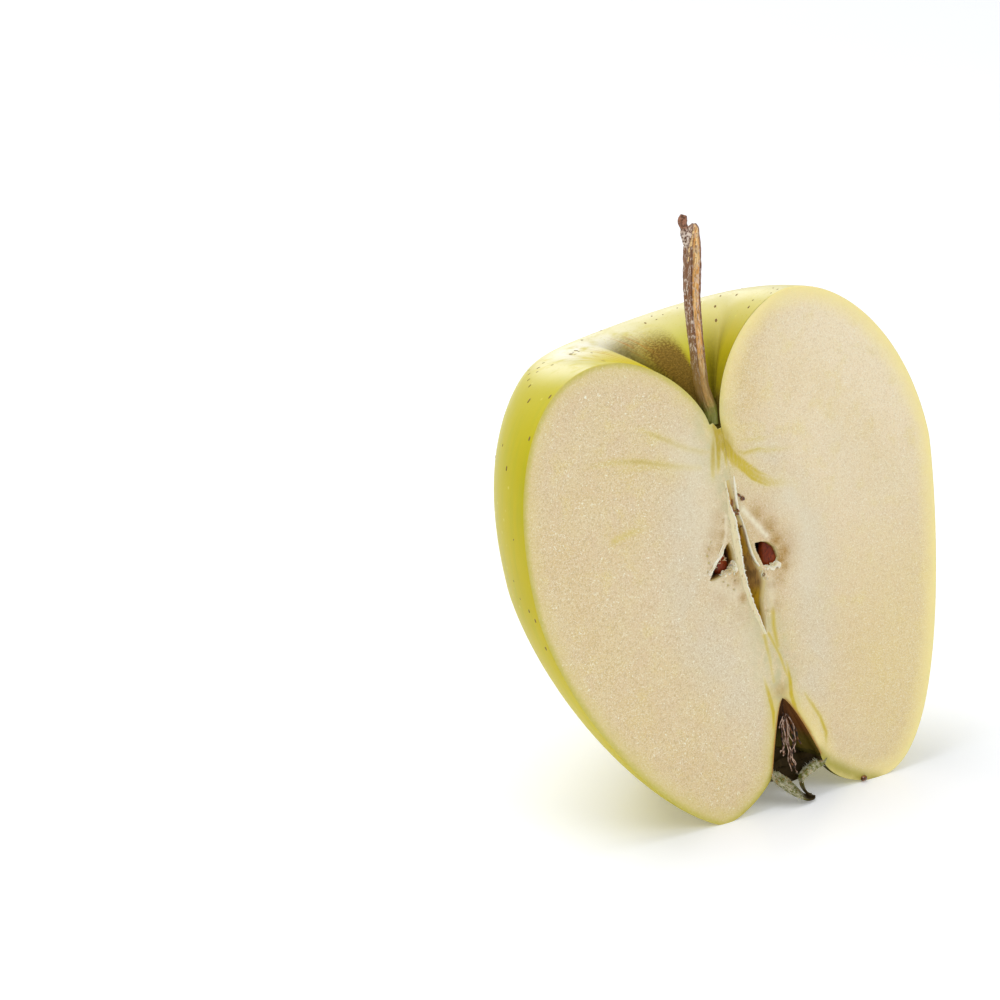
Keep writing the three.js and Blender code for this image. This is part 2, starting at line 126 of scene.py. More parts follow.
def skin_rows():
    """Rows of points from the pit over crest, belly and foot to the lip, and up the wall of the eye."""
    azimuth = np.linspace(0, math.pi, ROUND_STEPS + 1)
    azimuth = np.concatenate([[0, EDGE_TURN], azimuth[1:-1], [math.pi - EDGE_TURN, math.pi]])
    pit, crest_r, crest_h, belly_r, belly_h, foot_r, foot_h, lip_h = [
        around(values, azimuth) for values in (
            PIT_HEIGHT, CREST_RADIUS, CREST_HEIGHT, BELLY_RADIUS, BELLY_HEIGHT, FOOT_RADIUS, FOOT_HEIGHT,
            LIP_HEIGHT,
        )
    ]
    lip_share = (EYE_TOP - lip_h) / EYE_HEIGHT
    rows, stations = [], []

    def add(x, y, height, station):
        rows.append(np.stack([x, y, height], -1))
        stations.append(np.full(len(azimuth), station))

    def add_round(radius, height, station):
        add(radius * np.cos(azimuth), radius * np.sin(azimuth), height, station)

    for share in (0.3, 0.6, 0.85):
        add_round(PIT_RADIUS * share, pit, 0.0)
    for step in range(WALL_STEPS):
        station = step / WALL_STEPS
        closing = (1 - station) * math.pi / 2
        wide, tall = quarter(crest_r - PIT_RADIUS, crest_h - pit, WALL_FULLNESS, azimuth, closing)
        sink = 0
        for fold, width, depth in FOLDS:
            sink = sink + depth * fill(azimuth - math.radians(fold), math.radians(width))
        add_round(crest_r - wide, pit + tall - sink * math.sin(math.pi * station) ** 1.2, station)
    for step in range(SHOULDER_STEPS):
        opening = step / SHOULDER_STEPS * math.pi / 2
        wide, tall = quarter(belly_r - crest_r, crest_h - belly_h, SHOULDER_FULLNESS, azimuth, opening)
        add_round(crest_r + wide, belly_h + tall, 1 + step / SHOULDER_STEPS)
    for step in range(CHEEK_STEPS):
        closing = (1 - step / CHEEK_STEPS) * math.pi / 2
        wide, tall = quarter(belly_r - foot_r, belly_h - foot_h, CHEEK_FULLNESS, azimuth, closing)
        add_round(foot_r + wide, belly_h - tall, 2 + step / CHEEK_STEPS)
    foot = foot_r * np.cos(azimuth), foot_r * np.sin(azimuth)
    lip = eye_ring(azimuth, lip_share)
    for step in range(BASE_STEPS + 1):
        opening = step / BASE_STEPS * math.pi / 2
        share, tall = quarter(1.0, lip_h - foot_h, BASE_FULLNESS, azimuth, opening)
        x, y = [foot[axis] + (lip[:, axis] - foot[axis]) * share for axis in (0, 1)]
        add(x, y, lip_h - tall, 3 + step / BASE_STEPS)
    skin_count = len(rows)
    for step in range(1, EYE_STEPS):
        add(*eye_ring(azimuth, lip_share * (1 - step / EYE_STEPS)).T, 4 + step / EYE_STEPS)
    return azimuth, np.array(rows), np.array(stations), skin_count


# What shows on the cut face, as lines of (x, h): the open seam of the seed chamber, the mouths of
# the two seed cells, small pits beside them, and the strands that run through the flesh.
SEAM_LEFT = [
    (-0.3, 53), (-0.8, 50.1), (-1, 48.4), (-0.9, 46.2), (-0.6, 45.1), (-0.9, 42.8), (-1, 40.1),
    (-1.2, 36.7), (-0.9, 35.1), (-0.7, 33), (-0.4, 31.3), (0, 29.1), (0.4, 27.6),
]
SEAM_RIGHT = [
    (0.5, 53), (0.7, 50.1), (0.7, 48.2), (0.9, 46), (1.3, 44.9), (1.6, 42.9), (2, 40.4),
    (2.4, 38.3), (3, 37.3), (3, 35.6), (2.1, 33.9), (1.6, 33), (1.2, 31), (0.8, 29), (0.45, 27.6),
]
SEAM_DEPTHS = [(27.6, 0.3), (30, 1.6), (34, 2.7), (38, 3), (44, 2.3), (48, 1.3), (53, 0.35)]
LEFT_CELL = [
    (-7.5, 39.4), (-5.9, 41.3), (-4.6, 42.5), (-2.4, 43.9), (-2.1, 42.2), (-2.2, 40.6), (-2.9, 39.6),
    (-4.4, 39.5), (-5.9, 39.3),
]
RIGHT_CELL = [
    (2.2, 41.9), (3.4, 41.7), (4.8, 41.1), (5.8, 39.9), (6, 38.2), (5.3, 36.7), (4.6, 36.9),
    (3.6, 37.4), (2.8, 38.1), (2.5, 39.5), (2.2, 41),
]
CELL_DEPTH = 3.4
RIM_SLOPE = 0.32
PITS = [
    (-6.9, 43.4, 0.25), (-6.3, 44.3, 0.2), (-6.9, 42.2, 0.22), (-5.7, 45.2, 0.18), (-7.5, 41, 0.2),
    (-4.4, 37.6, 0.22), (-3.6, 36.6, 0.2), (-5.1, 38.5, 0.18), (-3, 37.9, 0.16), (5.9, 42.6, 0.16),
]
PIT_SINK = 0.35
PIT_SQUASH = 0.8
# Strands: corners (x, h, strength), and width.
STRANDS = [
    ([(0.2, 61.7, 0.9), (0.3, 60.3, 1), (0.6, 58.8, 1), (1.1, 57.5, 0.95), (1.7, 56.5, 0.45)], 1),
    ([(0.3, 61.5, 0.55), (0.9, 59.5, 0.6), (1.6, 57.6, 0.5), (2.8, 55.6, 0.35), (4.6, 53.4, 0.15)], 2),
    ([(0, 61, 0.8), (-0.3, 59, 0.9), (-0.7, 57.2, 0.85), (-1.2, 55.6, 0.6), (-1.8, 54, 0.1)], 0.5),
    ([(-0.5, 61, 0.35), (-1.4, 58.6, 0.6), (-2, 56.6, 0.65), (-2.5, 54.8, 0.5), (-2.9, 53, 0.05)], 0.65),
    ([(0.5, 59.6, 1), (0.6, 57.6, 0.9), (0.4, 55.8, 0.6), (0.2, 54.2, 0.1)], 0.32),
    ([(0.9, 58.6, 1), (1.3, 56.6, 0.85), (1.4, 54.9, 0.5), (1.4, 53.8, 0.1)], 0.28),
    ([(0.5, 59.2, 1), (1.5, 56.9, 1), (2.3, 55.3, 0.9), (3.4, 53.7, 0.7), (4.9, 52, 0.6),
      (6.5, 50.6, 0.5), (8.2, 49.5, 0.38), (10, 48.8, 0.24), (13, 48, 0.05)], 0.95),
    ([(1.2, 56.9, 0.7), (2.7, 54.1, 0.75), (4.4, 51.7, 0.7), (6.6, 49.8, 0.5), (9, 48.7, 0.1)], 0.42),
    ([(2.1, 56.9, 0.5), (3.9, 54.3, 0.7), (5.8, 52.1, 0.6), (8, 50.5, 0.2)], 0.42),
    ([(1.6, 57.4, 0.45), (4, 55.9, 0.5), (6.6, 55.6, 0.5), (8.7, 54.6, 0.38), (11.6, 53.8, 0.25),
      (15, 53, 0)], 0.50),
    ([(2.6, 59, 0), (5, 57.6, 0.35), (8, 56.8, 0.3), (11, 56.4, 0)], 0.5),
    ([(-15.5, 67.2, 0.05), (-13.5, 66.2, 0.3), (-10.3, 63.8, 0.45), (-6.7, 60.9, 0.42), (-3.9, 59.1, 0.4),
      (-1.6, 58.2, 0.3)], 0.6),
    ([(-26.5, 64.4, 0.05), (-23, 64, 0.28), (-20.1, 63.5, 0.4), (-14.8, 61.6, 0.48), (-8, 58.2, 0.42),
      (-4.5, 56.7, 0.3)], 0.66),
    ([(-21, 61.6, 0), (-17, 61.2, 0.35), (-12, 59.6, 0.3), (-9, 58, 0)], 0.5),
    ([(-24.5, 51.4, 0.05), (-22.6, 51.9, 0.45), (-19.2, 52, 0.42), (-15.5, 51.5, 0.1)], 0.75),
    ([(-2, 22, 0.1), (-1.8, 19.2, 0.75), (-1.7, 17.5, 0.9), (-1.7, 15.4, 0.8), (-2.3, 13, 0.5)], 0.42),
    ([(2.9, 22, 0.3), (2.7, 19, 0.8), (2.3, 16.9, 1), (2.5, 13.8, 1), (3.1, 11.8, 0.8),
      (4.2, 9.6, 0.5)], 0.42),
    ([(4.6, 16.6, 0.1), (5, 15.6, 0.4), (5.7, 13.8, 0.55), (6.7, 11.2, 0.6), (7.1, 8.5, 0.7),
      (6.4, 6, 0.2)], 0.42),
    ([(-0.1, 27.6, 0.6), (-0.1, 23.5, 0.45), (-0.3, 20, 0.4)], 0.45),
    ([(0.8, 27.6, 0.6), (1.9, 23.5, 0.55), (2.4, 20, 0.5)], 0.36),
    ([(2.9, 33.4, 0.1), (2.5, 30.5, 0.55), (2, 28, 0.6), (1.9, 25, 0.5)], 0.6),
]
HAZE_LINE = [(-0.8, 62.5), (-1.6, 57.5), (-1, 53), (0.3, 30), (0.6, 24), (0.6, 17)]
HAZE_WIDTHS = [(17, 3), (22, 3.8), (28, 3.4), (36, 2.6), (46, 1.6), (56, 2.4), (62, 3.4)]
# Browned spots: x, h, radius and strength.
BROWN_SPOTS = [
    (3.4, 46, 1.8, 0.75), (5.2, 43.2, 1.9, 0.85), (6.2, 40.9, 1.5, 0.95), (7, 38.6, 1.6, 1),
    (6.6, 36.5, 1.2, 0.85), (6.3, 37.7, 1.3, 1), (6.6, 39.4, 3.6, 0.5), (3.6, 45.4, 3.2, 0.42),
    (-3.4, 45.4, 1.1, 0.85), (-4.8, 46.2, 1.6, 0.6), (-6.2, 44.2, 1.5, 0.5), (-3.5, 48.6, 1.3, 0.5),
    (-4.4, 44.2, 1.1, 0.6), (-2.5, 47.4, 0.7, 0.7), (-3.6, 47.6, 2.2, 0.38), (-3, 37.6, 1.3, 0.6),
    (-2.4, 34.8, 0.9, 0.9), (-2.6, 38.9, 0.8, 0.8), (-5.4, 37.4, 2.6, 0.34), (-3.5, 32, 2.4, 0.26),
    (5, 35.2, 1.7, 0.5), (3.5, 34.6, 0.9, 0.9), (0.6, 18.2, 1.3, 0.6), (3.1, 31.4, 1.2, 0.45),
    (0, 44, 7.5, 0.20), (0.5, 36, 7, 0.20),
]
# Pale, milky, tanned and olive stretches: corners (x, h), width and strength.
PALE_LINES = [
    ([(1.5, 47.6), (3.1, 44.9), (4.6, 42.2)], 0.55, 1), ([(-7.4, 39.4), (-5.5, 41.7), (-3.9, 43.2)], 0.30, 1),
    ([(-3.9, 43.2), (-2.6, 45.4), (-1.9, 48)], 0.35, 0.7), ([(-6.4, 38.4), (-3.6, 36)], 1.5, 0.5),
    ([(3.6, 35.2), (2.6, 31.6)], 0.7, 0.5), ([(-6, 60), (-5, 54), (-6.5, 47.5)], 4.2, 0.36),
    ([(10.5, 46.5), (12, 40.5), (10, 33)], 2.4, 0.34), ([(-3.5, 30), (-3, 22)], 3.6, 0.25),
]
MILKY_LINES = [
    ([(-6, 58), (-9.5, 48), (-11.5, 38), (-10.5, 29), (-7, 21)], 6, 0.85),
    ([(-4.5, 33), (-5, 24), (-4.5, 12)], 3.6, 0.6),
    ([(7, 53), (11, 46), (12.5, 38), (10, 28), (7.5, 18)], 4.4, 0.85),
    ([(22, 50), (27, 42)], 6, 0.3),
]
TAN_LINES = [
    ([(6, 64.5), (8, 71), (12.5, 76)], 4.2, 0.75), ([(17, 64), (24, 58), (28, 46)], 4.5, 0.34),
    ([(-34, 56), (-32.5, 44), (-29, 32), (-23, 19), (-15, 7)], 5, 0.55),
    ([(-27, 60), (-18, 60.5), (-9, 57.5)], 2.6, 0.4), ([(-22, 50), (-16, 52.5)], 2.6, 0.35),
    ([(17, 20), (19, 8)], 5, 0.3), ([(-20, 30), (-14, 18)], 4, 0.3),
]
# The olive stretches along the eye are painted shade: the shaded skin underside, laid on the cut face.
UNDERSIDE_SHADE_LINES = [
    ([(5, 5.6), (6.5, 3.4), (8.2, 1.8), (9.9, 0.3), (11.6, -1.1), (14.5, -2.9)], 1.2, 0.85),
    ([(-4.6, 5.8), (-6.2, 4), (-8.6, 2.8), (-11, 2.2)], 0.7, 0.7),
    ([(-4.3, 6.4), (-3.6, 9)], 0.4, 0.5),
]
# The flesh is browned along the eye: width and strength.
EYE_BROWNING = (0.34, 0.95)
FACE_FINE_RADIUS = 14.0
FACE_RINGS = 76
FACE_SPREAD = 1.25
FACE_CENTRE = np.array([0.0, 40.0])
EDGE_ROUNDING = 0.12
SWAY_WAVES = 6
SWAY_TURNS = (2, 9)
SWAY_FALLS = (1.5, 6)
FULL_TURN = 6.3
HALO_SHARE = 0.36
HALO_WIDTH = 3.2


def measure(points, start, end):
    """The share along a stretch of line that is nearest to each point, and the distance to it."""
    run = end[:2] - start[:2]
    share = np.clip(((points - start[:2]) @ run) / max(run @ run, 1e-9), 0, 1)
    return share, np.linalg.norm(points - (start[:2] + share[:, None] * run), axis=1)


def distance_to_line(points, line):
    """Distance in the cut plane from each point to a line of (x, h) corners."""
    corners = np.asarray(line, float)
    nearest = np.full(len(points), 1e9)
    for start, end in zip(corners[:-1], corners[1:]):
        nearest = np.minimum(nearest, measure(points, start, end)[1])
    return nearest


def depth_inside(points, outline):
    """Distance from each point to a closed outline, positive inside it and negative outside."""
    closed = np.vstack([outline, outline[:1]])
    inside = np.zeros(len(points), bool)
    for (ax, ay), (bx, by) in zip(closed[:-1], closed[1:]):
        crosses = (ay > points[:, 1]) != (by > points[:, 1])
        rise = by - ay if by != ay else 1e-9
        inside ^= crosses & (points[:, 0] < ax + (bx - ax) * (points[:, 1] - ay) / rise)
    gap = distance_to_line(points, closed)
    return np.where(inside, gap, -gap)


def fill(values, width):
    return np.exp(-((values / width) ** 2))


def strongest(*parts):
    return np.maximum.reduce(parts)


def along_strand(points, line, width):
    """How strongly a strand and its soft halo show at each point; its corners are (x, h, strength)."""
    total = np.zeros(len(points))
    corners = np.asarray(line, float)
    for start, end in zip(corners[:-1], corners[1:]):
        share, gap = measure(points, start, end)
        strength = start[2] + share * (end[2] - start[2])
        halo = HALO_SHARE * strength * fill(gap, HALO_WIDTH * width)
        total = strongest(total, strength * fill(gap, width), halo)
    return total


def near_lines(points, lines):
    """How strongly a set of lines shows at each point; each is (corners, width, strength)."""
    parts = [strength * fill(distance_to_line(points, line), width) for line, width, strength in lines]
    return strongest(*parts)


def smooth(value, low, high):
    share = np.clip((value - low) / (high - low), 0, 1)
    return share * share * (3 - 2 * share)


def by_height(pairs, height):
    levels, values = np.array(sorted(pairs), float).T
    return np.interp(height, levels, values)


def carve(points):
    """How deep the cut face lies at each point, and how far across the open seam it is."""
    x, h = points.T
    left, right = [by_height([(b, a) for a, b in line], h) for line in (SEAM_LEFT, SEAM_RIGHT)]
    across = (x - left) / np.maximum(right - left, 0.05)
    in_seam = (h > SEAM_LEFT[-1][1]) & (h < SEAM_LEFT[0][1]) & (across > 0) & (across < 1)
    trough = smooth(across, 0, 0.16) * (1 - smooth(across, 0.34, 1) ** 0.8)
    depth = np.where(in_seam, by_height(SEAM_DEPTHS, h) * trough, 0)
    for outline in (LEFT_CELL, RIGHT_CELL):
        depth = np.maximum(depth, CELL_DEPTH * smooth(depth_inside(points, outline), -0.05, RIM_SLOPE))
    for px, ph, radius in PITS:
        away = np.hypot(x - px, (h - ph) * PIT_SQUASH)
        depth = np.maximum(depth, PIT_SINK * (1 - smooth(away, radius * 0.4, radius)))
    return depth, np.where(in_seam, across, -1.0)


azimuth, rows, stations, skin_count = skin_rows()
row_total, column_total = stations.shape
rng = np.random.default_rng(11)
sway = np.zeros(stations.shape)
for wave in range(SWAY_WAVES):
    turns = rng.uniform(*SWAY_TURNS)
    falls = rng.uniform(*SWAY_FALLS)
    sway += np.cos(turns * azimuth + falls * stations + rng.uniform(0, FULL_TURN))
sway *= UNEVEN * smooth(stations, 0.15, 0.9) * (1 - smooth(stations, 3.5, 3.95)) / 2
rows = rows + sway[..., None] * np.stack([np.cos(azimuth), np.sin(azimuth), 0 * azimuth], -1)
rows[..., 1] = np.maximum(rows[..., 1], 0)
rows[:, [0, -1], 1] = EDGE_ROUNDING / 2
pit_pole = (0, EDGE_ROUNDING / 2, around(PIT_HEIGHT, math.pi / 2))
eye_pole = (EYE_CENTRE[0], EDGE_ROUNDING / 2, EYE_TOP)

FLESH_SLOT, SKIN_SLOT, EYE_SLOT = 0, 1, 2
skin_points = np.vstack([rows.reshape(-1, 3), pit_pole, eye_pole])
pit_index = row_total * column_total
eye_index = pit_index + 1
last_row = (row_total - 1) * column_total
half_faces, half_slots = [], []
for row in range(row_total - 1):
    slot = SKIN_SLOT if row < skin_count - 1 else EYE_SLOT
    for here in range(row * column_total, (row + 1) * column_total - 1):
        below = here + column_total
        half_faces.append((here, below, below + 1, here + 1))
        half_slots.append(slot)
for column in range(column_total - 1):
    half_faces += [(pit_index, column, column + 1), (eye_index, last_row + column + 1, last_row + column)]
    half_slots += [SKIN_SLOT, EYE_SLOT]

right_edge = list(range(0, pit_index, column_total))
left_edge = list(range(column_total - 1, pit_index, column_total))
outline = [pit_index] + right_edge + [eye_index] + left_edge[::-1]
rim = skin_points[outline][:, [0, 2]]
spokes = rim - FACE_CENTRE
reach = np.linalg.norm(spokes, axis=1)
spokes = spokes / reach[:, None]
inner_radii = np.linspace(0, FACE_FINE_RADIUS, FACE_RINGS + 1)[1:]
outer_shares = 1 - (1 - np.linspace(0, 1, FACE_RINGS + 1)[1:]) ** FACE_SPREAD
rings = [FACE_CENTRE + spokes * radius for radius in inner_radii]
for share in outer_shares:
    radius = FACE_FINE_RADIUS + share * (reach - EDGE_ROUNDING - FACE_FINE_RADIUS)
    rings.append(FACE_CENTRE + spokes * radius[:, None])
face_flat = np.vstack([[FACE_CENTRE]] + rings)
face_x, face_h = face_flat.T
depth, across_seam = carve(face_flat)
ripple = 0.035 * np.cos(0.31 * face_x + 0.12 * face_h) + 0.02 * np.cos(0.9 * face_h - 0.4 * face_x + 1)
face_depth = depth + ripple * (1 - smooth(depth, 0, 0.4))
face_points = np.stack([face_x, face_depth, face_h], -1)
first = len(skin_points)
spoke_total = len(outline)
for spoke in range(spoke_total):
    after = (spoke + 1) % spoke_total
    half_faces.append((first, first + 1 + after, first + 1 + spoke))
    for inner in range(first + 1, first + len(face_flat) - spoke_total, spoke_total):
        outer = inner + spoke_total
        half_faces.append((inner + spoke, inner + after, outer + after, outer + spoke))
    edge = first + len(face_flat) - spoke_total
    half_faces.append((edge + spoke, edge + after, outline[after], outline[spoke]))
half_slots += [FLESH_SLOT] * (len(half_faces) - len(half_slots))


def place_object(name, data):
    """An object with the given data, at the origin of the scene."""
    piece = bpy.data.objects.new(name, data)
    bpy.context.scene.collection.objects.link(piece)
    return piece


def bare_piece(name, points, edges=(), faces=()):
    """A mesh object at the origin, with its points given in metres in the frame of the model."""
    mesh = bpy.data.meshes.new(name)
    mesh.from_pydata(np.asarray(points).tolist(), edges, faces)
    return place_object(name, mesh)


def make_piece(name, points, faces, finish=None):
    """A smooth mesh object at the origin, with its points given in the core-line frame."""
    piece = bare_piece(name, set_down(points), faces=faces)
    piece.data.polygons.foreach_set("use_smooth", [True] * len(piece.data.polygons))
    piece.data.update()
    if finish:
        piece.data.materials.append(finish.material)
    return piece


def mark(piece, name, values):
    """Stores one number for each point of a piece, which its material reads by name."""
    layer = piece.data.attributes.new(name, "FLOAT", "POINT")
    layer.data.foreach_set("value", np.asarray(values, np.float32))


half = make_piece("apple_half_body", np.vstack([skin_points, face_points]), half_faces)
half.data.polygons.foreach_set("material_index", half_slots)
corners = np.zeros(len(half.data.vertices) * 3)
half.data.vertices.foreach_get("co", corners)
corners[2::3] = np.maximum(corners[2::3], 0)
half.data.vertices.foreach_set("co", corners)
half.data.update()

# Marks that the materials read. On the skin they follow the azimuth and the station: 0 at the pit,
# 1 at the crest, 2 at the belly, 3 at the foot, 4 at the lip of the eye and 5 at its top.
turned = np.degrees(np.broadcast_to(azimuth, stations.shape))
turn = np.broadcast_to(azimuth * SKIN_TURN, stations.shape)
fall = np.zeros(stations.shape)
fall[1:] = np.cumsum(np.linalg.norm(np.diff(rows, axis=0), axis=-1), axis=0)
russet = strongest(
    np.exp(-(((turned - 88) / 19) ** 4)) * fill(stations - 0.42, 0.32),
    0.8 * fill(stations - 0.10, 0.16),
    0.45 * fill(turned - 100, 10) * fill(stations - 0.74, 0.16),
)
streaked = fill(stations - 0.74, 0.13) * np.maximum(fill(turned - 128, 24), 0.9 * fill(turned - 98, 8))
green = strongest(
    smooth(stations, 2.9, 3.9) + 0.9 * fill(turned - 64, 26) * fill(stations - 0.72, 0.3),
    0.5 * fill(stations - 1.35, 0.6),
)
# Darker in the folds of the stem hollow and deep towards the pit: painted shade, with some russet.
crease = strongest(
    fill(turned - 107.5, 4.6) * smooth(stations, 0.1, 0.3) * (1 - smooth(stations, 0.72, 0.97)),
    0.85 * fill(turned - 38, 15) * (1 - smooth(stations, 0.34, 0.92)),
    0.55 * (1 - smooth(turned, 56, 84)) * (1 - smooth(stations, 0.16, 0.66)),
    0.95 * (1 - smooth(stations, 0.10, 0.40)),
)
# Whitish over the shoulder: wax bloom and a painted sheen of the light from above and behind.
bloom = strongest(
    fill(turned - 123, 35) * fill(stations - 0.91, 0.14),
    0.30 * fill(stations - 1.02, 0.10),
)
backed = (1 - smooth(turned, 105, 150)) * smooth(stations, 0.45, 0.95) * (1 - smooth(stations, 1.05, 2.5))
skin_marks = {
    "turn": (turn, turn.mean(), turn.mean()), "fall": (fall, 0, fall[-1].mean()), "station": (stations, 0, 5),
    "russet": (russet, 0.8, 0), "streaked": (streaked, 0, 0), "green": (green, 0, 0),
    "crease": (crease, 0.9, 0), "bloom": (bloom, 0, 0), "backed": (backed, 0, 0),
}
for name, (values, at_pit, at_eye) in skin_marks.items():
    mark(half, name, np.concatenate([np.ravel(values), [at_pit, at_eye], np.zeros(len(face_flat))]))

# Marks on the cut face: how near the rim, along a strand, in the pale core, browned and so on.
rim_line = np.vstack([rim, rim[:1]])[::3]
eye_wall = rows[skin_count - 1:, [0, -1]][:, :, [0, 2]]
brown_lines = [([(x, h), (x, h)], radius, strength) for x, h, radius, strength in BROWN_SPOTS]
brown_lines += [(eye_wall[:, side], EYE_BROWNING[0], EYE_BROWNING[1]) for side in (0, 1)]
face_marks = {
    "rim_gap": np.concatenate([distance_to_line(part, rim_line) for part in np.array_split(face_flat, 24)]),
    "strand": strongest(*[along_strand(face_flat, line, width) for line, width in STRANDS]),
    "haze": fill(distance_to_line(face_flat, HAZE_LINE), by_height(HAZE_WIDTHS, face_h)),
    "browned": near_lines(face_flat, brown_lines),
    "pale": near_lines(face_flat, PALE_LINES),
    "under": near_lines(face_flat, UNDERSIDE_SHADE_LINES),
    "milky": near_lines(face_flat, MILKY_LINES),
    "tanned": near_lines(face_flat, TAN_LINES),
    "hollow": depth, "seam": across_seam, "side": face_x, "level": face_h,
}
for name, values in face_marks.items():
    mark(half, name, np.concatenate([np.zeros(len(skin_points)), values]))


def tint(display):
    """A colour given in display values from 0 to 255, as the linear colour that a shader takes."""
    shares = np.array(display) / 255
    return (*np.where(shares <= 0.04045, shares / 12.92, ((shares + 0.055) / 1.055) ** 2.4), 1.0)


def add_node(tree, kind, inputs=None, **settings):
    """A node with its settings, and its inputs set to a value or linked to another node's output."""
    made = tree.nodes.new(kind)
    for key, value in settings.items():
        setattr(made, key, value)
    for key, value in (inputs or {}).items():
        if isinstance(value, bpy.types.NodeSocket):
            tree.links.new(value, made.inputs[key])
        else:
            made.inputs[key].default_value = value
    return made


class Finish:
    """A material whose colour is laid on in coats, each by the product of its shares.

    A share is a number, a node's output, the name of a mark, or a tuple of one of these and the
    ranges of reshape. Lengths in noise are millimetres, and distances of relief are metres.
    """

    def __init__(self, name, colour):
        self.material = bpy.data.materials.new(name)
        self.material.use_nodes = True
        self.tree = self.material.node_tree
        self.marks = {}
        self.colour = colour
        self.normal = None
        self.place = self.stretched(1, 1, 1)

    def stretched(self, *stretch):
        """Object coordinates in millimetres, stretched along the axes where a pattern needs it."""
        place = add_node(self.tree, "ShaderNodeTexCoord").outputs["Object"]
        scale = [part / METRES for part in stretch]
        return add_node(self.tree, "ShaderNodeMapping", {"Vector": place, "Scale": scale}).outputs["Vector"]

    def value(self, part):
        """What a share stands for."""
        if isinstance(part, tuple):
            return self.reshape(*part)
        if isinstance(part, str):
            if part not in self.marks:
                made = add_node(self.tree, "ShaderNodeAttribute", attribute_name=part)
                self.marks[part] = made.outputs["Fac"]
            return self.marks[part]
        return part

    def reshape(self, part, low, high, new_low=0, new_high=1):
        """Maps a value from one range to another, smoothly and held at the ends."""
        ranges = {"From Min": low, "From Max": high, "To Min": new_low, "To Max": new_high}
        inputs = {"Value": self.value(part), **ranges}
        made = add_node(self.tree, "ShaderNodeMapRange", inputs, interpolation_type="SMOOTHSTEP", clamp=True)
        return made.outputs["Result"]

    def count(self, operation, *parts):
        """A sum, product or other operation over two or more parts, from left to right."""
        total = self.value(parts[0])
        for part in parts[1:]:
            inputs = {0: total, 1: self.value(part)}
            total = add_node(self.tree, "ShaderNodeMath", inputs, operation=operation).outputs[0]
        return total

    def vector(self, x, y, z=0.0):
        inputs = {"X": self.value(x), "Y": self.value(y), "Z": self.value(z)}
        return add_node(self.tree, "ShaderNodeCombineXYZ", inputs).outputs[0]

    def noise(self, size, detail=3, roughness=0.55, distortion=0, place=None):
        """Cloudy noise from 0 to 1 whose lumps are about the given size."""
        inputs = {
            "Vector": place or self.place, "Scale": 1 / size, "Detail": detail, "Roughness": roughness,
            "Distortion": distortion,
        }
        return add_node(self.tree, "ShaderNodeTexNoise", inputs).outputs["Fac"]

    def blend(self, share, under, over):
        """Lays one colour over another by a share."""
        under, over = [tint(colour) if isinstance(colour, tuple) else colour for colour in (under, over)]
        inputs = {0: self.value(share), 6: under, 7: over}
        return add_node(self.tree, "ShaderNodeMix", inputs, data_type="RGBA", clamp_factor=True).outputs[2]

    def coat(self, colour, *shares):
        self.colour = self.blend(self.count("MULTIPLY", *shares), self.colour, colour)

    def relief(self, height, strength, distance):
        """Roughens the surface by a pattern, over what roughens it already."""
        inputs = {"Height": height, "Strength": strength, "Distance": distance}
        if self.normal:
            inputs["Normal"] = self.normal
        self.normal = add_node(self.tree, "ShaderNodeBump", inputs).outputs["Normal"]

    def settle(self, **settings):
        """Ends a material: its colour, its relief and the shader's other inputs, with _ for a space."""
        shader = next(node for node in self.tree.nodes if node.type == "BSDF_PRINCIPLED")
        self.tree.links.new(self.colour, shader.inputs["Base Color"])
        if self.normal:
            self.tree.links.new(self.normal, shader.inputs["Normal"])
        for name, value in settings.items():
            socket = shader.inputs[name.replace("_", " ")]
            if isinstance(value, bpy.types.NodeSocket):
                self.tree.links.new(value, socket)
            else:
                socket.default_value = value


FLESH_CREAM = (233, 211, 163)
FLESH_PINK = (231, 206, 162)
FLESH_YELLOW = (235, 215, 142)
FLESH_LIT_PALE = (250, 233, 198)
FLESH_SPECK_AND_GLINT = (255, 250, 230)
FLESH_SHADE = (202, 175, 122)
FLESH_HAZE = (202, 196, 150)
FLESH_WARM = (236, 214, 150)
FLESH_MILKY = (228, 214, 184)
FLESH_TAN = (229, 203, 142)
RIM_YELLOW = (255, 237, 162)
RIM_PALE = (214, 198, 118)
RIM_GREEN = (204, 192, 78)
UNDERSIDE_SHADE_OLIVE = (170, 160, 46)
STRAND_OLIVE = (190, 164, 4)
STRAND_YELLOW = (210, 186, 40)
STRAND_SOFT = (226, 208, 104)
BROWNING = (180, 138, 60)
BROWN_SPECK = (138, 98, 30)
EYE_GOLD = (186, 132, 58)
PALE_CREAM = (244, 234, 204)
HOLLOW_CREAM = (226, 208, 146)
HOLLOW_TAN = (236, 186, 78)
HOLLOW_OLIVE = (198, 154, 44)
HOLLOW_BROWN = (172, 132, 66)
HOLLOW_GREEN = (204, 166, 34)
HOLLOW_DARK_AND_SHADE = (66, 46, 24)
CELL_SHADE = (60, 34, 16)

flesh = Finish("cut_flesh", FLESH_CREAM)
grain = flesh.noise(0.34, 3, 0.6)
dust = flesh.noise(0.17, 2, 0.6)
flesh.coat(FLESH_PINK, (flesh.noise(4, 4, 0.6), 0.36, 0.64))
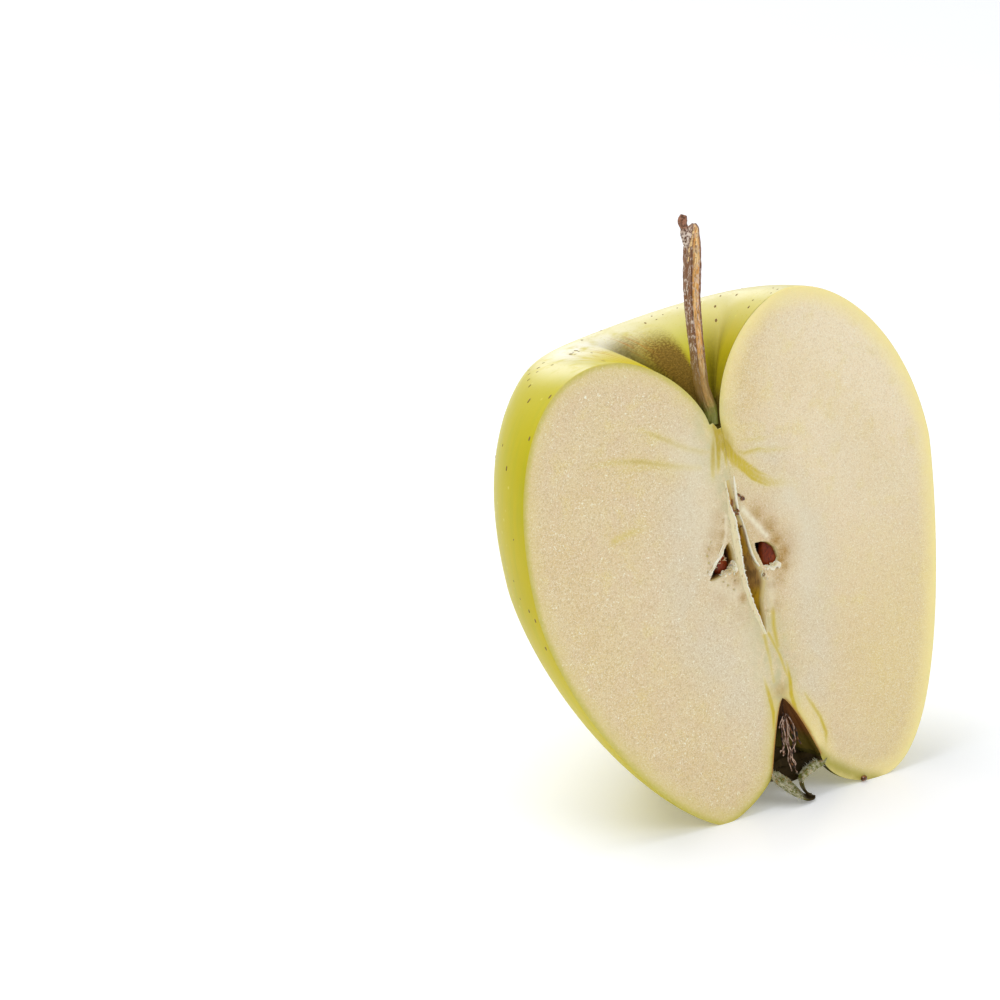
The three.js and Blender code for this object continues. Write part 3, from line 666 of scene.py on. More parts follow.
# Paler towards the upper right of the face: painted light, as if that side were lit more.
flesh.coat(FLESH_LIT_PALE, ("side", -4, 26), ("level", 14, 62), 0.8)
flesh.coat(FLESH_YELLOW, (flesh.noise(3.4, 2, 0.5), 0.52, 0.74), 0.5)
flesh.coat(FLESH_WARM, ("side", 4, 26), ("level", 46, 8), 0.7)
flesh.coat(FLESH_MILKY, "milky", (flesh.noise(5), 0.3, 0.62, 0.45, 1))
flesh.coat(FLESH_TAN, "tanned", (flesh.noise(2.8), 0.3, 0.65, 0.3, 1))
flesh.coat(FLESH_SHADE, (grain, 0.54, 0.32, 0, 0.5), ("side", -4, 18, 1, 0.55))
# Whitish specks in the grain of the flesh.
flesh.coat(FLESH_SPECK_AND_GLINT, (dust, 0.50, 0.70, 0, 0.62))
# Sparse white dots, denser to the left: painted glints of the wet cells.
painted_glints = flesh.noise(0.30, 1, 0.5)
flesh.coat(FLESH_SPECK_AND_GLINT, (flesh.noise(3, 2), 0.38, 0.62), ("side", 8, -16, 0.25, 1), (painted_glints, 0.64, 0.72))
right_side = flesh.value(("side", -6, 12))
rim_noise = flesh.count("ADD", "rim_gap", flesh.count("MULTIPLY", flesh.noise(2.2), 1.6))
flesh.coat(RIM_PALE, (right_side, 0, 1, 0.8, 0), (rim_noise, 4.4, 0.5), ("level", 58, 18, 0.5, 1))
flesh.coat(RIM_YELLOW, (rim_noise, 5, 0.7), (right_side, 0, 1, 0.2, 0.85))
edge_noise = flesh.count("ADD", "rim_gap", flesh.count("MULTIPLY", flesh.noise(0.6), 0.9))
flesh.coat(flesh.blend(right_side, RIM_GREEN, RIM_YELLOW), (edge_noise, 1.7, 0.3, 0, 0.9))
# An olive band by the eye: painted shade of the skin's underside.
flesh.coat(UNDERSIDE_SHADE_OLIVE, "under", (flesh.noise(1.6, 2), 0.25, 0.6, 0.75, 1))
flesh.coat(FLESH_HAZE, "haze", (flesh.noise(1.6), 0.2, 0.7), 0.85)
fibre_run = flesh.noise(0.55, 3, 0.6, place=flesh.stretched(1.5, 1.5, 0.5))
strand_colour = flesh.blend(("level", 54, 59), STRAND_YELLOW, STRAND_OLIVE)
strand_colour = flesh.blend(("strand", 0.62, 0.2), strand_colour, STRAND_SOFT)
flesh.coat(strand_colour, ("strand", 0, 0.75), (fibre_run, 0.25, 0.6, 0.74, 1))
flesh.coat(BROWNING, "browned", (flesh.noise(0.5), 0.2, 0.66, 0.6, 1))
flesh.coat(BROWN_SPECK, (dust, 0.42, 0.30), ("browned", 0.15, 0.8, 0, 0.75))
flesh.coat(EYE_GOLD, (flesh.count("SUBTRACT", "browned", ("level", 18.5, 24)), 0.6, 0.9))
flesh.coat(PALE_CREAM, "pale", (flesh.noise(0.6), 0.3, 0.6, 0.7, 1))
wall_noise = flesh.noise(0.8, place=flesh.stretched(1.8, 1.8, 0.3))
wavy_level = flesh.count("ADD", "level", flesh.count("MULTIPLY", wall_noise, 3))
lining = flesh.blend((wavy_level, 46, 49), HOLLOW_OLIVE, HOLLOW_TAN)
lining = flesh.blend((wavy_level, 43.2, 40.6), lining, HOLLOW_BROWN)
lining = flesh.blend((wavy_level, 37, 35.2), lining, HOLLOW_GREEN)
lining = flesh.blend((wall_noise, 0.55, 0.35, 0, 0.5), lining, HOLLOW_DARK_AND_SHADE)
flesh.coat(HOLLOW_CREAM, ("hollow", 0.03, 0.24))
flesh.coat(lining, ("hollow", 0.25, 0.9))
# Darker deeper in the seam and in the seed cells: painted shade in the recesses.
flesh.coat(HOLLOW_DARK_AND_SHADE, ("hollow", 1.8, 3.4, 0, 0.25))
flesh.coat(CELL_SHADE, ("hollow", 0.5, 1.8), ("seam", -0.1, -0.6))
flesh.relief(grain, 0.35, 0.00012)
flesh.relief(dust, 0.6, 0.00008)
flesh.settle(
    Roughness=0.46, Specular_IOR_Level=0.4, Subsurface_Weight=0.12, Subsurface_Radius=(1, 0.7, 0.4),
    Subsurface_Scale=0.001,
)

SKIN_YELLOW = (206, 188, 12)
SKIN_OLIVE = (198, 182, 12)
SKIN_GREEN = (180, 180, 28)
SKIN_PALE_LIT = (212, 202, 92)
SKIN_BACK = (222, 213, 148)
SKIN_BLOOM_AND_SHEEN = (246, 243, 226)
SKIN_RUSSET = (108, 82, 26)
SKIN_RUSSET_PALE = (140, 108, 44)
SKIN_CREASE_SHADE = (90, 78, 16)
SKIN_BLUSH = (188, 122, 44)
SKIN_PORE = (236, 228, 120)
SKIN_LIP = (70, 62, 16)

skin = Finish("waxy_skin", SKIN_YELLOW)
clouds = skin.noise(13, 2, 0.5)
flecks = skin.noise(0.5, 3, 0.6)
streaks = skin.noise(1.4, 3, 0.6, place=skin.vector("turn", skin.count("MULTIPLY", "fall", 0.12)))
skin.coat(SKIN_OLIVE, (clouds, 0.36, 0.66))
skin.coat(SKIN_GREEN, (streaks, 0.45, 0.75, 0, 0.4))
skin.coat(SKIN_GREEN, ("green", 0.1, 1, 0, 0.8))
# Paler over the crest: painted light, the top washed out by the lamps.
skin.coat(SKIN_PALE_LIT, ("station", 1.6, 1.05), ("station", 0.6, 0.95), 0.5)
skin.coat(SKIN_BACK, "backed", 0.8)
# Wax bloom and painted sheen on the shoulder.
skin.coat(SKIN_BLOOM_AND_SHEEN, "bloom", (skin.noise(2.6), 0.22, 0.56), 0.95)
pore_inputs = {"Vector": skin.place, "Scale": 0.42, "Randomness": 1}
pore_cells = add_node(skin.tree, "ShaderNodeTexVoronoi", pore_inputs)
skin.coat(SKIN_PORE, (pore_cells.outputs["Distance"], 0.14, 0.05, 0, 0.35))
skin.coat(SKIN_OLIVE, (flecks, 0.42, 0.25, 0, 0.45))
contours = skin.vector(skin.count("MULTIPLY", "turn", 0.25), "fall")
netting = skin.value((skin.noise(0.30, 3, 0.6, 0.4, contours), 0.34, 0.64))
russet_share = skin.count("MULTIPLY", "russet", (netting, 0, 1, 0.75, 1))
skin.coat(skin.blend(netting, SKIN_RUSSET_PALE, SKIN_RUSSET), (russet_share, 0.08, 0.62, 0, 0.95))
fine_streaks = skin.noise(0.6, 2, 0.6, place=skin.vector("turn", skin.count("MULTIPLY", "fall", 0.05)))
skin.coat(SKIN_BLUSH, "streaked", (fine_streaks, 0.54, 0.66), 0.8)
# Painted shade in the folds and down by the pit.
skin.coat(SKIN_CREASE_SHADE, "crease", (flecks, 0.2, 0.6, 0.7, 1), 0.92)
lip = skin.value(("station", 3.36, 3.74))
skin.coat(SKIN_LIP, lip)
dry = skin.count("MAXIMUM", "russet", "crease", ("station", 0.95, 0.7), lip)
skin.relief(clouds, 0.10, 0.0006)
skin.relief(flecks, 0.14, 0.00008)
skin.relief(skin.count("MULTIPLY", russet_share, netting), 0.6, 0.00014)
skin.settle(
    Roughness=skin.reshape(dry, 0.1, 0.7, 0.38, 0.8), Specular_IOR_Level=0.14, Subsurface_Weight=0.05,
    Subsurface_Radius=(1, 0.8, 0.2), Subsurface_Scale=0.0008,
)

EYE_BROWN = (78, 46, 16)
EYE_DARK = (26, 15, 8)
EYE_RED = (132, 80, 30)
EYE_OLIVE = (88, 82, 12)
EYE_TAN = (150, 112, 64)

eye = Finish("eye_wall", EYE_DARK)
fibres = eye.noise(3.2, 4, 0.65, place=eye.vector("turn", eye.count("MULTIPLY", "fall", 0.5)))
eye.coat(EYE_BROWN, (fibres, 0.38, 0.62))
eye.coat(EYE_RED, ("turn", 60, 6), 0.7)
eye.coat(EYE_OLIVE, ("station", 4.46, 4.2), 0.75)
eye.coat(EYE_TAN, (eye.noise(0.5), 0.64, 0.76, 0, 0.4))
eye.relief(fibres, 0.8, 0.0003)
eye.settle(Roughness=0.62, Specular_IOR_Level=0.15)

for finish in (flesh, skin, eye):
    half.data.materials.append(finish.material)
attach(half, "root")
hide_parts("flesh")

# ---- Lenticels --------------------------------------------------------------------------------
# Small corky breathing pores in the skin, drawn out along the run from stem to eye. They stand a
# hair above the wax. Some have set places (azimuth in degrees, station), and the rest are strewn.
PORES_SET = [
    (160.1, 1.201, 1), (169, 1.275, 1.25), (178.6, 1.236, 1.15), (179, 1.43, 1.1), (170.5, 1.562, 1.15),
    (142.7, 1.046, 0.7), (163.6, 1.504, 0.7), (127.2, 0.879, 0.6), (126.2, 0.808, 0.6), (149.6, 0.747, 1),
    (78.4, 0.914, 0.9), (29.6, 0.958, 0.9), (38.6, 0.786, 1.1), (9.7, 0.791, 0.9), (176.3, 1.998, 0.9),
    (178.9, 2.042, 1), (178.3, 2.117, 1), (174.5, 1.79, 0.5), (173.3, 1.976, 0.5), (172.3, 1.927, 0.55),
]
PORE_COUNT = 130
PORE_CLEARANCE = 0.001
PORE_TURNS = (3, 160)
PORE_STATIONS = (0.85, 3.2)
PORE_SCALES = (0.45, 1.0)
PORE_SIZES = {"Half Length": 0.00036, "Half Width": 0.00019, "Height": 0.000055}
PORE_BROWN = (112, 84, 34)
PORE_RIM = (150, 120, 54)


def unit(vectors):
    return vectors / np.linalg.norm(vectors, axis=-1, keepdims=True)


def skin_frame(degrees, station):
    """Place, outward normal and downward run of the skin at an azimuth and station."""
    column = int(np.argmin(np.abs(np.degrees(azimuth) - degrees)))
    column = min(max(column, 1), column_total - 2)
    row = int(np.argmin(np.abs(stations[:skin_count, column] - station)))
    row = min(max(row, 1), skin_count - 2)
    run = set_down(rows[row + 1, column]) - set_down(rows[row - 1, column])
    side = set_down(rows[row, column + 1]) - set_down(rows[row, column - 1])
    return set_down(rows[row, column]), unit(np.cross(run, side)), unit(run)


def new_tree(name, values):
    """A Geometry Nodes tree with geometry going in and out, and named inputs with their values."""
    group = bpy.data.node_groups.new(name, "GeometryNodeTree")
    for way in ("INPUT", "OUTPUT"):
        group.interface.new_socket("Geometry", in_out=way, socket_type="NodeSocketGeometry")
    for key, value in values.items():
        kind = "NodeSocketInt" if isinstance(value, int) else "NodeSocketFloat"
        group.interface.new_socket(key, in_out="INPUT", socket_type=kind).default_value = value
    return group, group.nodes.new("NodeGroupInput").outputs


def end_tree(group, geometry, finish):
    """Ends a tree in Realize Instances and Set Material."""
    real = add_node(group, "GeometryNodeRealizeInstances", {"Geometry": geometry}).outputs[0]
    coated = add_node(group, "GeometryNodeSetMaterial", {"Geometry": real, "Material": finish.material})
    add_node(group, "NodeGroupOutput", {0: coated.outputs[0]})


def grow(name, seedbed, group, values):
    """Runs a tree on a seedbed, and keeps the result as a plain mesh object at the origin."""
    modifier = seedbed.modifiers.new("grow", "NODES")
    modifier.node_group = group
    for item in group.interface.items_tree:
        if item.name in values:
            modifier[item.identifier] = values[item.name]
    bpy.context.view_layer.update()
    ready = seedbed.evaluated_get(bpy.context.evaluated_depsgraph_get())
    mesh = bpy.data.meshes.new_from_object(ready)
    bpy.data.objects.remove(seedbed)
    mesh.name = name
    return place_object(name, mesh)


rng = np.random.default_rng(5)
pore_places = list(PORES_SET)
while len(pore_places) < PORE_COUNT + len(PORES_SET):
    degrees = rng.uniform(*PORE_TURNS)
    station = rng.uniform(*PORE_STATIONS)
    if skin_frame(degrees, station)[0][2] > PORE_CLEARANCE:
        pore_places.append((degrees, station, rng.uniform(*PORE_SCALES)))
pore_spots, pore_normals, pore_runs = zip(*[skin_frame(*pore[:2]) for pore in pore_places])

cork = Finish("lenticel_cork", PORE_BROWN)
cork.coat(PORE_RIM, (cork.noise(0.2), 0.35, 0.65))
cork.relief(cork.noise(0.12, 2), 0.5, 0.00004)
cork.settle(Roughness=0.7)

pore_tree, given = new_tree("lenticels_on_skin", PORE_SIZES)
size, outward, along = [
    add_node(
        pore_tree, "GeometryNodeInputNamedAttribute", {"Name": name}, data_type="FLOAT_VECTOR",
    ).outputs["Attribute"] for name in ("size", "outward", "along")
]
lens = add_node(pore_tree, "GeometryNodeMeshUVSphere", {"Segments": 8, "Rings": 5, "Radius": 1})
shape = add_node(
    pore_tree, "ShaderNodeCombineXYZ",
    {"X": given["Half Width"], "Y": given["Half Length"], "Z": given["Height"]},
)
sized = add_node(pore_tree, "ShaderNodeVectorMath", {0: shape.outputs[0], 1: size}, operation="MULTIPLY")
upright = add_node(pore_tree, "FunctionNodeAlignRotationToVector", {"Vector": outward}, axis="Z")
turned_along = add_node(
    pore_tree, "FunctionNodeAlignRotationToVector", {"Rotation": upright.outputs[0], "Vector": along},
    axis="Y", pivot_axis="Z",
)
strewn = add_node(
    pore_tree, "GeometryNodeInstanceOnPoints",
    {"Points": given["Geometry"], "Instance": lens.outputs[0], "Rotation": turned_along.outputs[0],
     "Scale": sized.outputs[0]},
)
end_tree(pore_tree, strewn.outputs[0], cork)

pore_bed = bare_piece("pore_bed", pore_spots)
pore_sizes = [(size ** 0.5, size, size) for degrees, station, size in pore_places]
for name, values in (("outward", pore_normals), ("along", pore_runs), ("size", pore_sizes)):
    layer = pore_bed.data.attributes.new(name, "FLOAT_VECTOR", "POINT")
    layer.data.foreach_set("vector", np.asarray(values, np.float32).ravel())
lenticels = grow("lenticels", pore_bed, pore_tree, PORE_SIZES)
lenticels.data.polygons.foreach_set("use_smooth", [True] * len(lenticels.data.polygons))
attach(lenticels, "root")

# ---- Seeds ------------------------------------------------------------------------------------
# Two ripe seeds lie in the cells on either side of the core, points up, round at the bottom and
# flattened. Their hard coat is glossy red-brown, with lighter red patches.
SEED_LENGTH = 7.6
SEED_RADIUS = 1.8
SEED_FLATNESS = 0.58
SEEDS = {
    "seed_left": ((-3.7, 2.2, 41), math.radians(-14), math.radians(24)),
    "seed_right": ((5.5, 1.9, 39.1), math.radians(12), math.radians(-18)),
}
SEED_BROWN = (126, 44, 10)
SEED_RED = (164, 70, 26)
SEED_DARK = (52, 16, 8)
SEED_STEPS = 40
SEED_SIDES = 48

seed_coat = Finish("seed_coat", SEED_BROWN)
fine_lines = seed_coat.noise(0.5, 3, 0.6, place=seed_coat.stretched(2.4, 2.4, 0.5))
seed_coat.coat(SEED_RED, (seed_coat.noise(2.2), 0.35, 0.62))
seed_coat.coat(SEED_DARK, (fine_lines, 0.55, 0.3, 0, 0.7))
seed_coat.relief(fine_lines, 0.25, 0.0001)
seed_coat.settle(Roughness=0.3, Specular_IOR_Level=0.3, Coat_Weight=0.1, Coat_Roughness=0.12)


def ball_angles(steps, sides):
    """The angles from pole to pole, and round a ball, of its rings of points."""
    angle = np.linspace(0, math.pi, steps + 1)[:, None]
    return angle, np.linspace(0, 2 * math.pi, sides, endpoint=False)[None, :]


def seed_rings(centre, tip, turn_by):
    angle, side = ball_angles(SEED_STEPS, SEED_SIDES)
    radius = SEED_RADIUS * np.sin(angle) * (1 + 0.35 * np.cos(angle)) / 1.06
    height = -SEED_LENGTH / 2 * np.cos(angle) + 0 * side
    crease = 1 - 0.025 * np.cos(3 * side + 2 * angle)
    x, y = spin(radius * np.cos(side) * crease, radius * np.sin(side) * crease * SEED_FLATNESS, -turn_by)
    x, height = spin(x, height, tip)
    return np.stack([x, y, height], -1) + np.array(centre)


def shell(rings, first_pole, last_pole):
    """The points and faces of a closed form: rings of points, and a pole at either end."""
    ring_total, side_total = rings.shape[:2]
    last = (ring_total - 1) * side_total
    pole = ring_total * side_total
    faces = []
    for here in range(0, last, side_total):
        for side in range(side_total):
            after = here + (side + 1) % side_total
            faces.append((here + side, after, after + side_total, here + side + side_total))
    for side in range(side_total):
        after = (side + 1) % side_total
        faces += [(pole, after, side), (pole + 1, last + side, last + after)]
    return np.vstack([rings.reshape(-1, 3), [first_pole, last_pole]]), faces


def joined(shells):
    """The points and faces of several shells as those of one."""
    points, faces = [], []
    for shell_points, shell_faces in shells:
        faces += [tuple(len(points) + corner for corner in face) for face in shell_faces]
        points += list(shell_points)
    return np.array(points), faces


def face_outwards(piece):
    """Turns a closed piece right side out if its volume comes out negative."""
    mesh = piece.data
    mesh.calc_loop_triangles()
    corners = np.zeros(len(mesh.vertices) * 3)
    mesh.vertices.foreach_get("co", corners)
    triangles = np.zeros(len(mesh.loop_triangles) * 3, int)
    mesh.loop_triangles.foreach_get("vertices", triangles)
    a, b, c = corners.reshape(-1, 3)[triangles.reshape(-1, 3)].transpose(1, 0, 2)
    if (a * np.cross(b, c)).sum() < 0:
        mesh.flip_normals()


for name, placing in SEEDS.items():
    rings = seed_rings(*placing)
    seed = make_piece(name + "_coat", *shell(rings[1:-1], rings[0, 0], rings[-1, 0]), seed_coat)
    face_outwards(seed)
    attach(seed, "root")
    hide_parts(name)

# ---- Seed chamber lining ----------------------------------------------------------------------
# The core is lined with thin horny parchment. The knife has torn it: a white frayed band stands
# along the left of the open seam, a narrower one on the right, with crumpled shreds at the cells.
PARCHMENT_WHITE = (250, 242, 218)
PARCHMENT_CREAM = (238, 222, 178)
PARCHMENT_TAN = (190, 160, 96)
BAND_OUTER = [
    (-0.75, 53.2), (-0.9, 51.2), (-1.2, 49.5), (-1.5, 48), (-1.45, 46.4), (-1.7, 45), (-1.8, 43.3),
    (-1.88, 41.7), (-1.92, 40), (-1.9, 38.4), (-1.8, 36.2), (-1.5, 33.7), (-0.95, 30.9), (-0.06, 27.8),
]
BAND_INNER = [
    (-0.57, 53.2), (-0.65, 51.2), (-0.81, 49.3), (-0.48, 48), (-0.36, 46.4), (-0.5, 44.9), (-0.6, 43.3),
    (-0.75, 41.7), (-0.9, 40.2), (-1.04, 38.4), (-1, 35.8), (-0.69, 33.4), (-0.1, 30.5), (0.35, 27.7),
]
SHEET_HALF_THICKNESS = 0.05
BAND_STEPS = 220
BAND_LIFT = 0.24
BAND_FRAY = 0.07
RAGGED_WAVES = 7
RIGHT_SHEET_INNER = [(0.5, 47.6), (0.8, 46), (0.95, 44.3), (1, 42.2), (1.15, 40.6), (1.5, 39.2), (2, 38.2)]
RIGHT_SHEET_OUTER = [(0.75, 47.8), (1.2, 46), (1.5, 44), (1.68, 42.2), (1.9, 40.6), (2.2, 39.2), (2.55, 38.1)]
TOP_STRIP = [(1.23, 53.3), (1.1, 52.2), (0.99, 51.1), (0.75, 49.5), (0.66, 48)]
# Shreds: name, four corners, how far it bulges, the size of its crumples and the seed of its draws.
SHREDS = [
    ("right_a", [(3.1, 0.5, 37.8), (4.6, 0.45, 37.4), (4.5, -0.1, 36.7), (3.2, 0, 37.1)], 0.22, 0.09, 1),
    ("right_b", [(4.3, 0.4, 37.6), (5.9, 0.3, 37.8), (5.7, -0.1, 36.8), (4.4, -0.05, 36.7)], 0.2, 0.09, 2),
    ("left_a", [(-3.3, 0.6, 39.8), (-2.3, 0.5, 40.9), (-2.1, -0.05, 39.3), (-3, -0.05, 38.8)], 0.2, 0.1, 4),
    ("left_b", [(-5.4, 0.4, 39.7), (-3.6, 0.5, 39.9), (-3.4, 0, 39.2), (-5, 0, 39.1)], 0.12, 0.07, 6),
    ("left_lip", [(-6.9, 0.3, 40.1), (-3, 0.3, 43.3), (-3.7, -0.05, 44), (-7.7, -0.05, 40.5)], 0.1, 0.06, 8),
    ("seam", [(1, 0.9, 30.9), (2, 0.2, 31.1), (1.7, 0.1, 30.2), (0.9, 0.8, 30.2)], 0.1, 0.06, 7),
    ("notch", [(2.2, 0.5, 37.4), (3.1, 0.2, 37.4), (2.9, 0.1, 35.6), (2.3, 0.7, 35.2)], 0.12, 0.06, 9),
]
SHRED_STEPS = 22
SHRED_WAVES = 5
SHRED_RATES = (4, 14)
SHRED_PUSH = np.array([0.6, 1.0, 0.6])
SHRED_THINNING = 0.8
SHRED_WHITENESS = 0.9


def ragged(share, slowest, fastest, seed_number):
    """An uneven wave along a torn edge, from a few random waves between two rates."""
    generator = np.random.default_rng(seed_number)
    total = np.zeros(len(share))
    for rate in np.geomspace(slowest, fastest, RAGGED_WAVES):
        rate = rate * generator.uniform(0.85, 1.15)
        phase = generator.uniform(0, FULL_TURN)
        total += np.cos(2 * math.pi * rate * share + phase) * generator.uniform(0.5, 1)
    return total / 2


def along_line(line, share):
    """Points at equal shares along a line of corners."""
    corners = np.asarray(line, float)
    run = np.concatenate([[0], np.cumsum(np.linalg.norm(np.diff(corners, axis=0), axis=1))])
    run = run / run[-1]
    return np.stack([np.interp(share, run, corners[:, axis]) for axis in range(corners.shape[1])], -1)


def thin_sheet(name, grid, half_thickness, finish):
    """A closed thin sheet on both sides of a grid of points."""
    normal = np.cross(np.gradient(grid, axis=1), np.gradient(grid, axis=0))
    normal = normal / np.maximum(np.linalg.norm(normal, axis=-1, keepdims=True), 1e-9)
    points = np.vstack([(grid + normal * lift).reshape(-1, 3) for lift in (half_thickness, -half_thickness)])
    place = np.arange(grid.shape[0] * grid.shape[1]).reshape(grid.shape[:2])
    total = place.size
    front = np.stack([place[:-1, :-1], place[:-1, 1:], place[1:, 1:], place[1:, :-1]], -1).reshape(-1, 4)
    both = np.stack([front, total + front[:, ::-1]], 1).reshape(-1, 4)
    border = np.concatenate([place[0, :-1], place[:-1, -1], place[-1, :0:-1], place[:0:-1, 0]])
    after = np.roll(border, -1)
    edge = np.stack([after, border, total + border, total + after], -1)
    piece = make_piece(name, points, np.vstack([both, edge]).tolist(), finish)
    face_outwards(piece)
    return piece


parchment = Finish("core_parchment", PARCHMENT_CREAM)
patches = parchment.count("MULTIPLY", parchment.noise(0.9, 3, 0.6), 0.5)
whiteness = parchment.count("ADD", "torn_edge", patches)
tan_noise = parchment.noise(0.5, place=parchment.stretched(1.6, 1.6, 0.5))
parchment.coat(PARCHMENT_WHITE, (whiteness, 0.62, 1))
parchment.coat(PARCHMENT_TAN, (tan_noise, 0.54, 0.70, 0, 0.8), (whiteness, 1, 0.6))
parchment.relief(parchment.noise(0.25), 0.5, 0.0001)
parchment.settle(Roughness=0.5, Subsurface_Weight=0.12, Subsurface_Scale=0.0004)


def band(name, outer, inner, lines):
    """A strip along the seam. Its lines are each a share from outer to inner, a depth and a whiteness."""
    grid = []
    for part, deep, torn in lines:
        run = outer + part * (inner - outer)
        grid.append(np.stack([run[:, 0], deep + 0 * share, run[:, 1]], -1))
    piece = thin_sheet(name, np.array(grid), SHEET_HALF_THICKNESS, parchment)
    mark(piece, "torn_edge", np.tile(np.repeat([line[2] for line in lines], BAND_STEPS), 2))
    return piece


def crumpled(name, corners, rise, ripple_size, seed_number):
    """A crumpled shred of parchment between four corners (x, y, h)."""
    generator = np.random.default_rng(seed_number)
    a, b, c, d = [np.asarray(corner, float) for corner in corners]
    u = np.linspace(0, 1, SHRED_STEPS)[:, None, None]
    v = np.linspace(0, 1, SHRED_STEPS)[None, :, None]
    sheet = a * (1 - u) * (1 - v) + b * (1 - u) * v + c * u * v + d * u * (1 - v)
    for wave in range(SHRED_WAVES):
        fu, fv = generator.uniform(*SHRED_RATES), generator.uniform(*SHRED_RATES)
        phase = generator.uniform(0, FULL_TURN)
        push = generator.normal(0, 1, 3) * SHRED_PUSH
        sheet = sheet + ripple_size * push * np.cos(fu * u + fv * v + phase)
    sheet[..., 1] -= (rise * np.sin(math.pi * u) * np.sin(math.pi * v))[..., 0]
    piece = thin_sheet("shred_" + name, sheet, SHEET_HALF_THICKNESS * SHRED_THINNING, parchment)
    mark(piece, "torn_edge", np.full(2 * SHRED_STEPS ** 2, SHRED_WHITENESS))
    return piece


share = np.linspace(0, 1, BAND_STEPS)
taper = np.sin(math.pi * np.clip(share, 0.004, 0.996)) ** 0.4
outer = along_line(BAND_OUTER, share)
inner = along_line(BAND_INNER, share)
inner[:, 0] += BAND_FRAY * ragged(share, 5, 60, 3) * taper
outer[:, 0] += 0.05 * ragged(share, 4, 20, 5) * taper
lift = BAND_LIFT * taper * (1 + 0.25 * ragged(share, 3, 14, 7))
tips = lift * (1 + 0.35 * ragged(share, 20, 70, 9))
lining_pieces = [band("parchment_band_left", outer, inner, [
    (0, 0.12, 0.5), (0.12, 0.02 - 0.2 * lift, 0.45), (0.4, -0.45 * lift, 0), (0.7, -0.5 * lift, 0.1),
    (0.88, -0.8 * lift, 0.7), (1, -1.15 * tips, 1), (1.03, -0.7 * lift, 0.9), (1, 0.15, 0.3), (0.9, 0.9, 0),
])]
inner = along_line(RIGHT_SHEET_INNER, share)
outer = along_line(RIGHT_SHEET_OUTER, share)
outer[:, 0] += 0.05 * ragged(share, 4, 40, 15) * taper
lift = 0.2 * taper
lining_pieces.append(band("parchment_band_right", outer, inner, [
    (0, 1.6, 0), (0, 0.7, 0), (0.3, 0.35, 0), (0.6, 0.1, 0.1), (0.85, -0.6 * lift, 0.8), (1, -1.2 * lift, 1),
    (1.06, -0.5 * lift, 0.9), (1, 0.5, 0.3),
]))
outer = along_line(TOP_STRIP, share)
inner = outer - np.stack([0.42 * taper, 0 * share], -1)
outer[:, 0] += 0.03 * ragged(share, 3, 12, 19) * taper
lining_pieces.append(band("parchment_strip_top", outer, inner, [
    (0, 0.25, 0.4), (0, -0.5 * lift, 1), (0.3, -0.9 * lift, 1), (0.7, -0.6 * lift, 0.7), (1, 0.3, 0.2),
]))
lining_pieces += [crumpled(*shred) for shred in SHREDS]
for piece in lining_pieces:
    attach(piece, "root")

# ---- Torn fibres of the core ------------------------------------------------------------------
# Fine white threads that the knife pulled from the parchment, fraying out at its edges and below
# the cells. Each is swept along its own bent path.
FIBRE_SIZES = {
    "Thread Radius": 0.00004, "Wave Height": 0.00012, "Wave Size": 0.0006, "Knob Radius": 0.0, "Seed": 4,
}
FIBRE_DEPTH = 0.08
FIBRE_SPREAD = np.array([0.6, 0.35, 0.6])
FIBRE_DROOP = np.array([0.15, -0.3, -0.35])
FIBRE_BEND = 0.16
THREAD_STEPS = 12
THREAD_SIDES = 6
# Groups of fibres: middle (x, h), spread (x, h), number and length.
FIBRE_GROUPS = [
    ((-3.4, 40), (0.9, 0.5), 34, 0.9), ((-4.6, 39.6), (0.8, 0.4), 18, 0.8),
    ((4.2, 37.7), (1.2, 0.4), 24, 0.6),
    ((-0.7, 42.4), (0.15, 4), 22, 0.3), ((1.4, 31), (0.5, 0.4), 12, 0.6), ((-0.8, 34.6), (0.15, 3), 18, 0.3),
    ((-5.2, 41.8), (1.3, 1), 14, 0.4), ((2.6, 36.6), (0.3, 0.8), 10, 0.5),
]


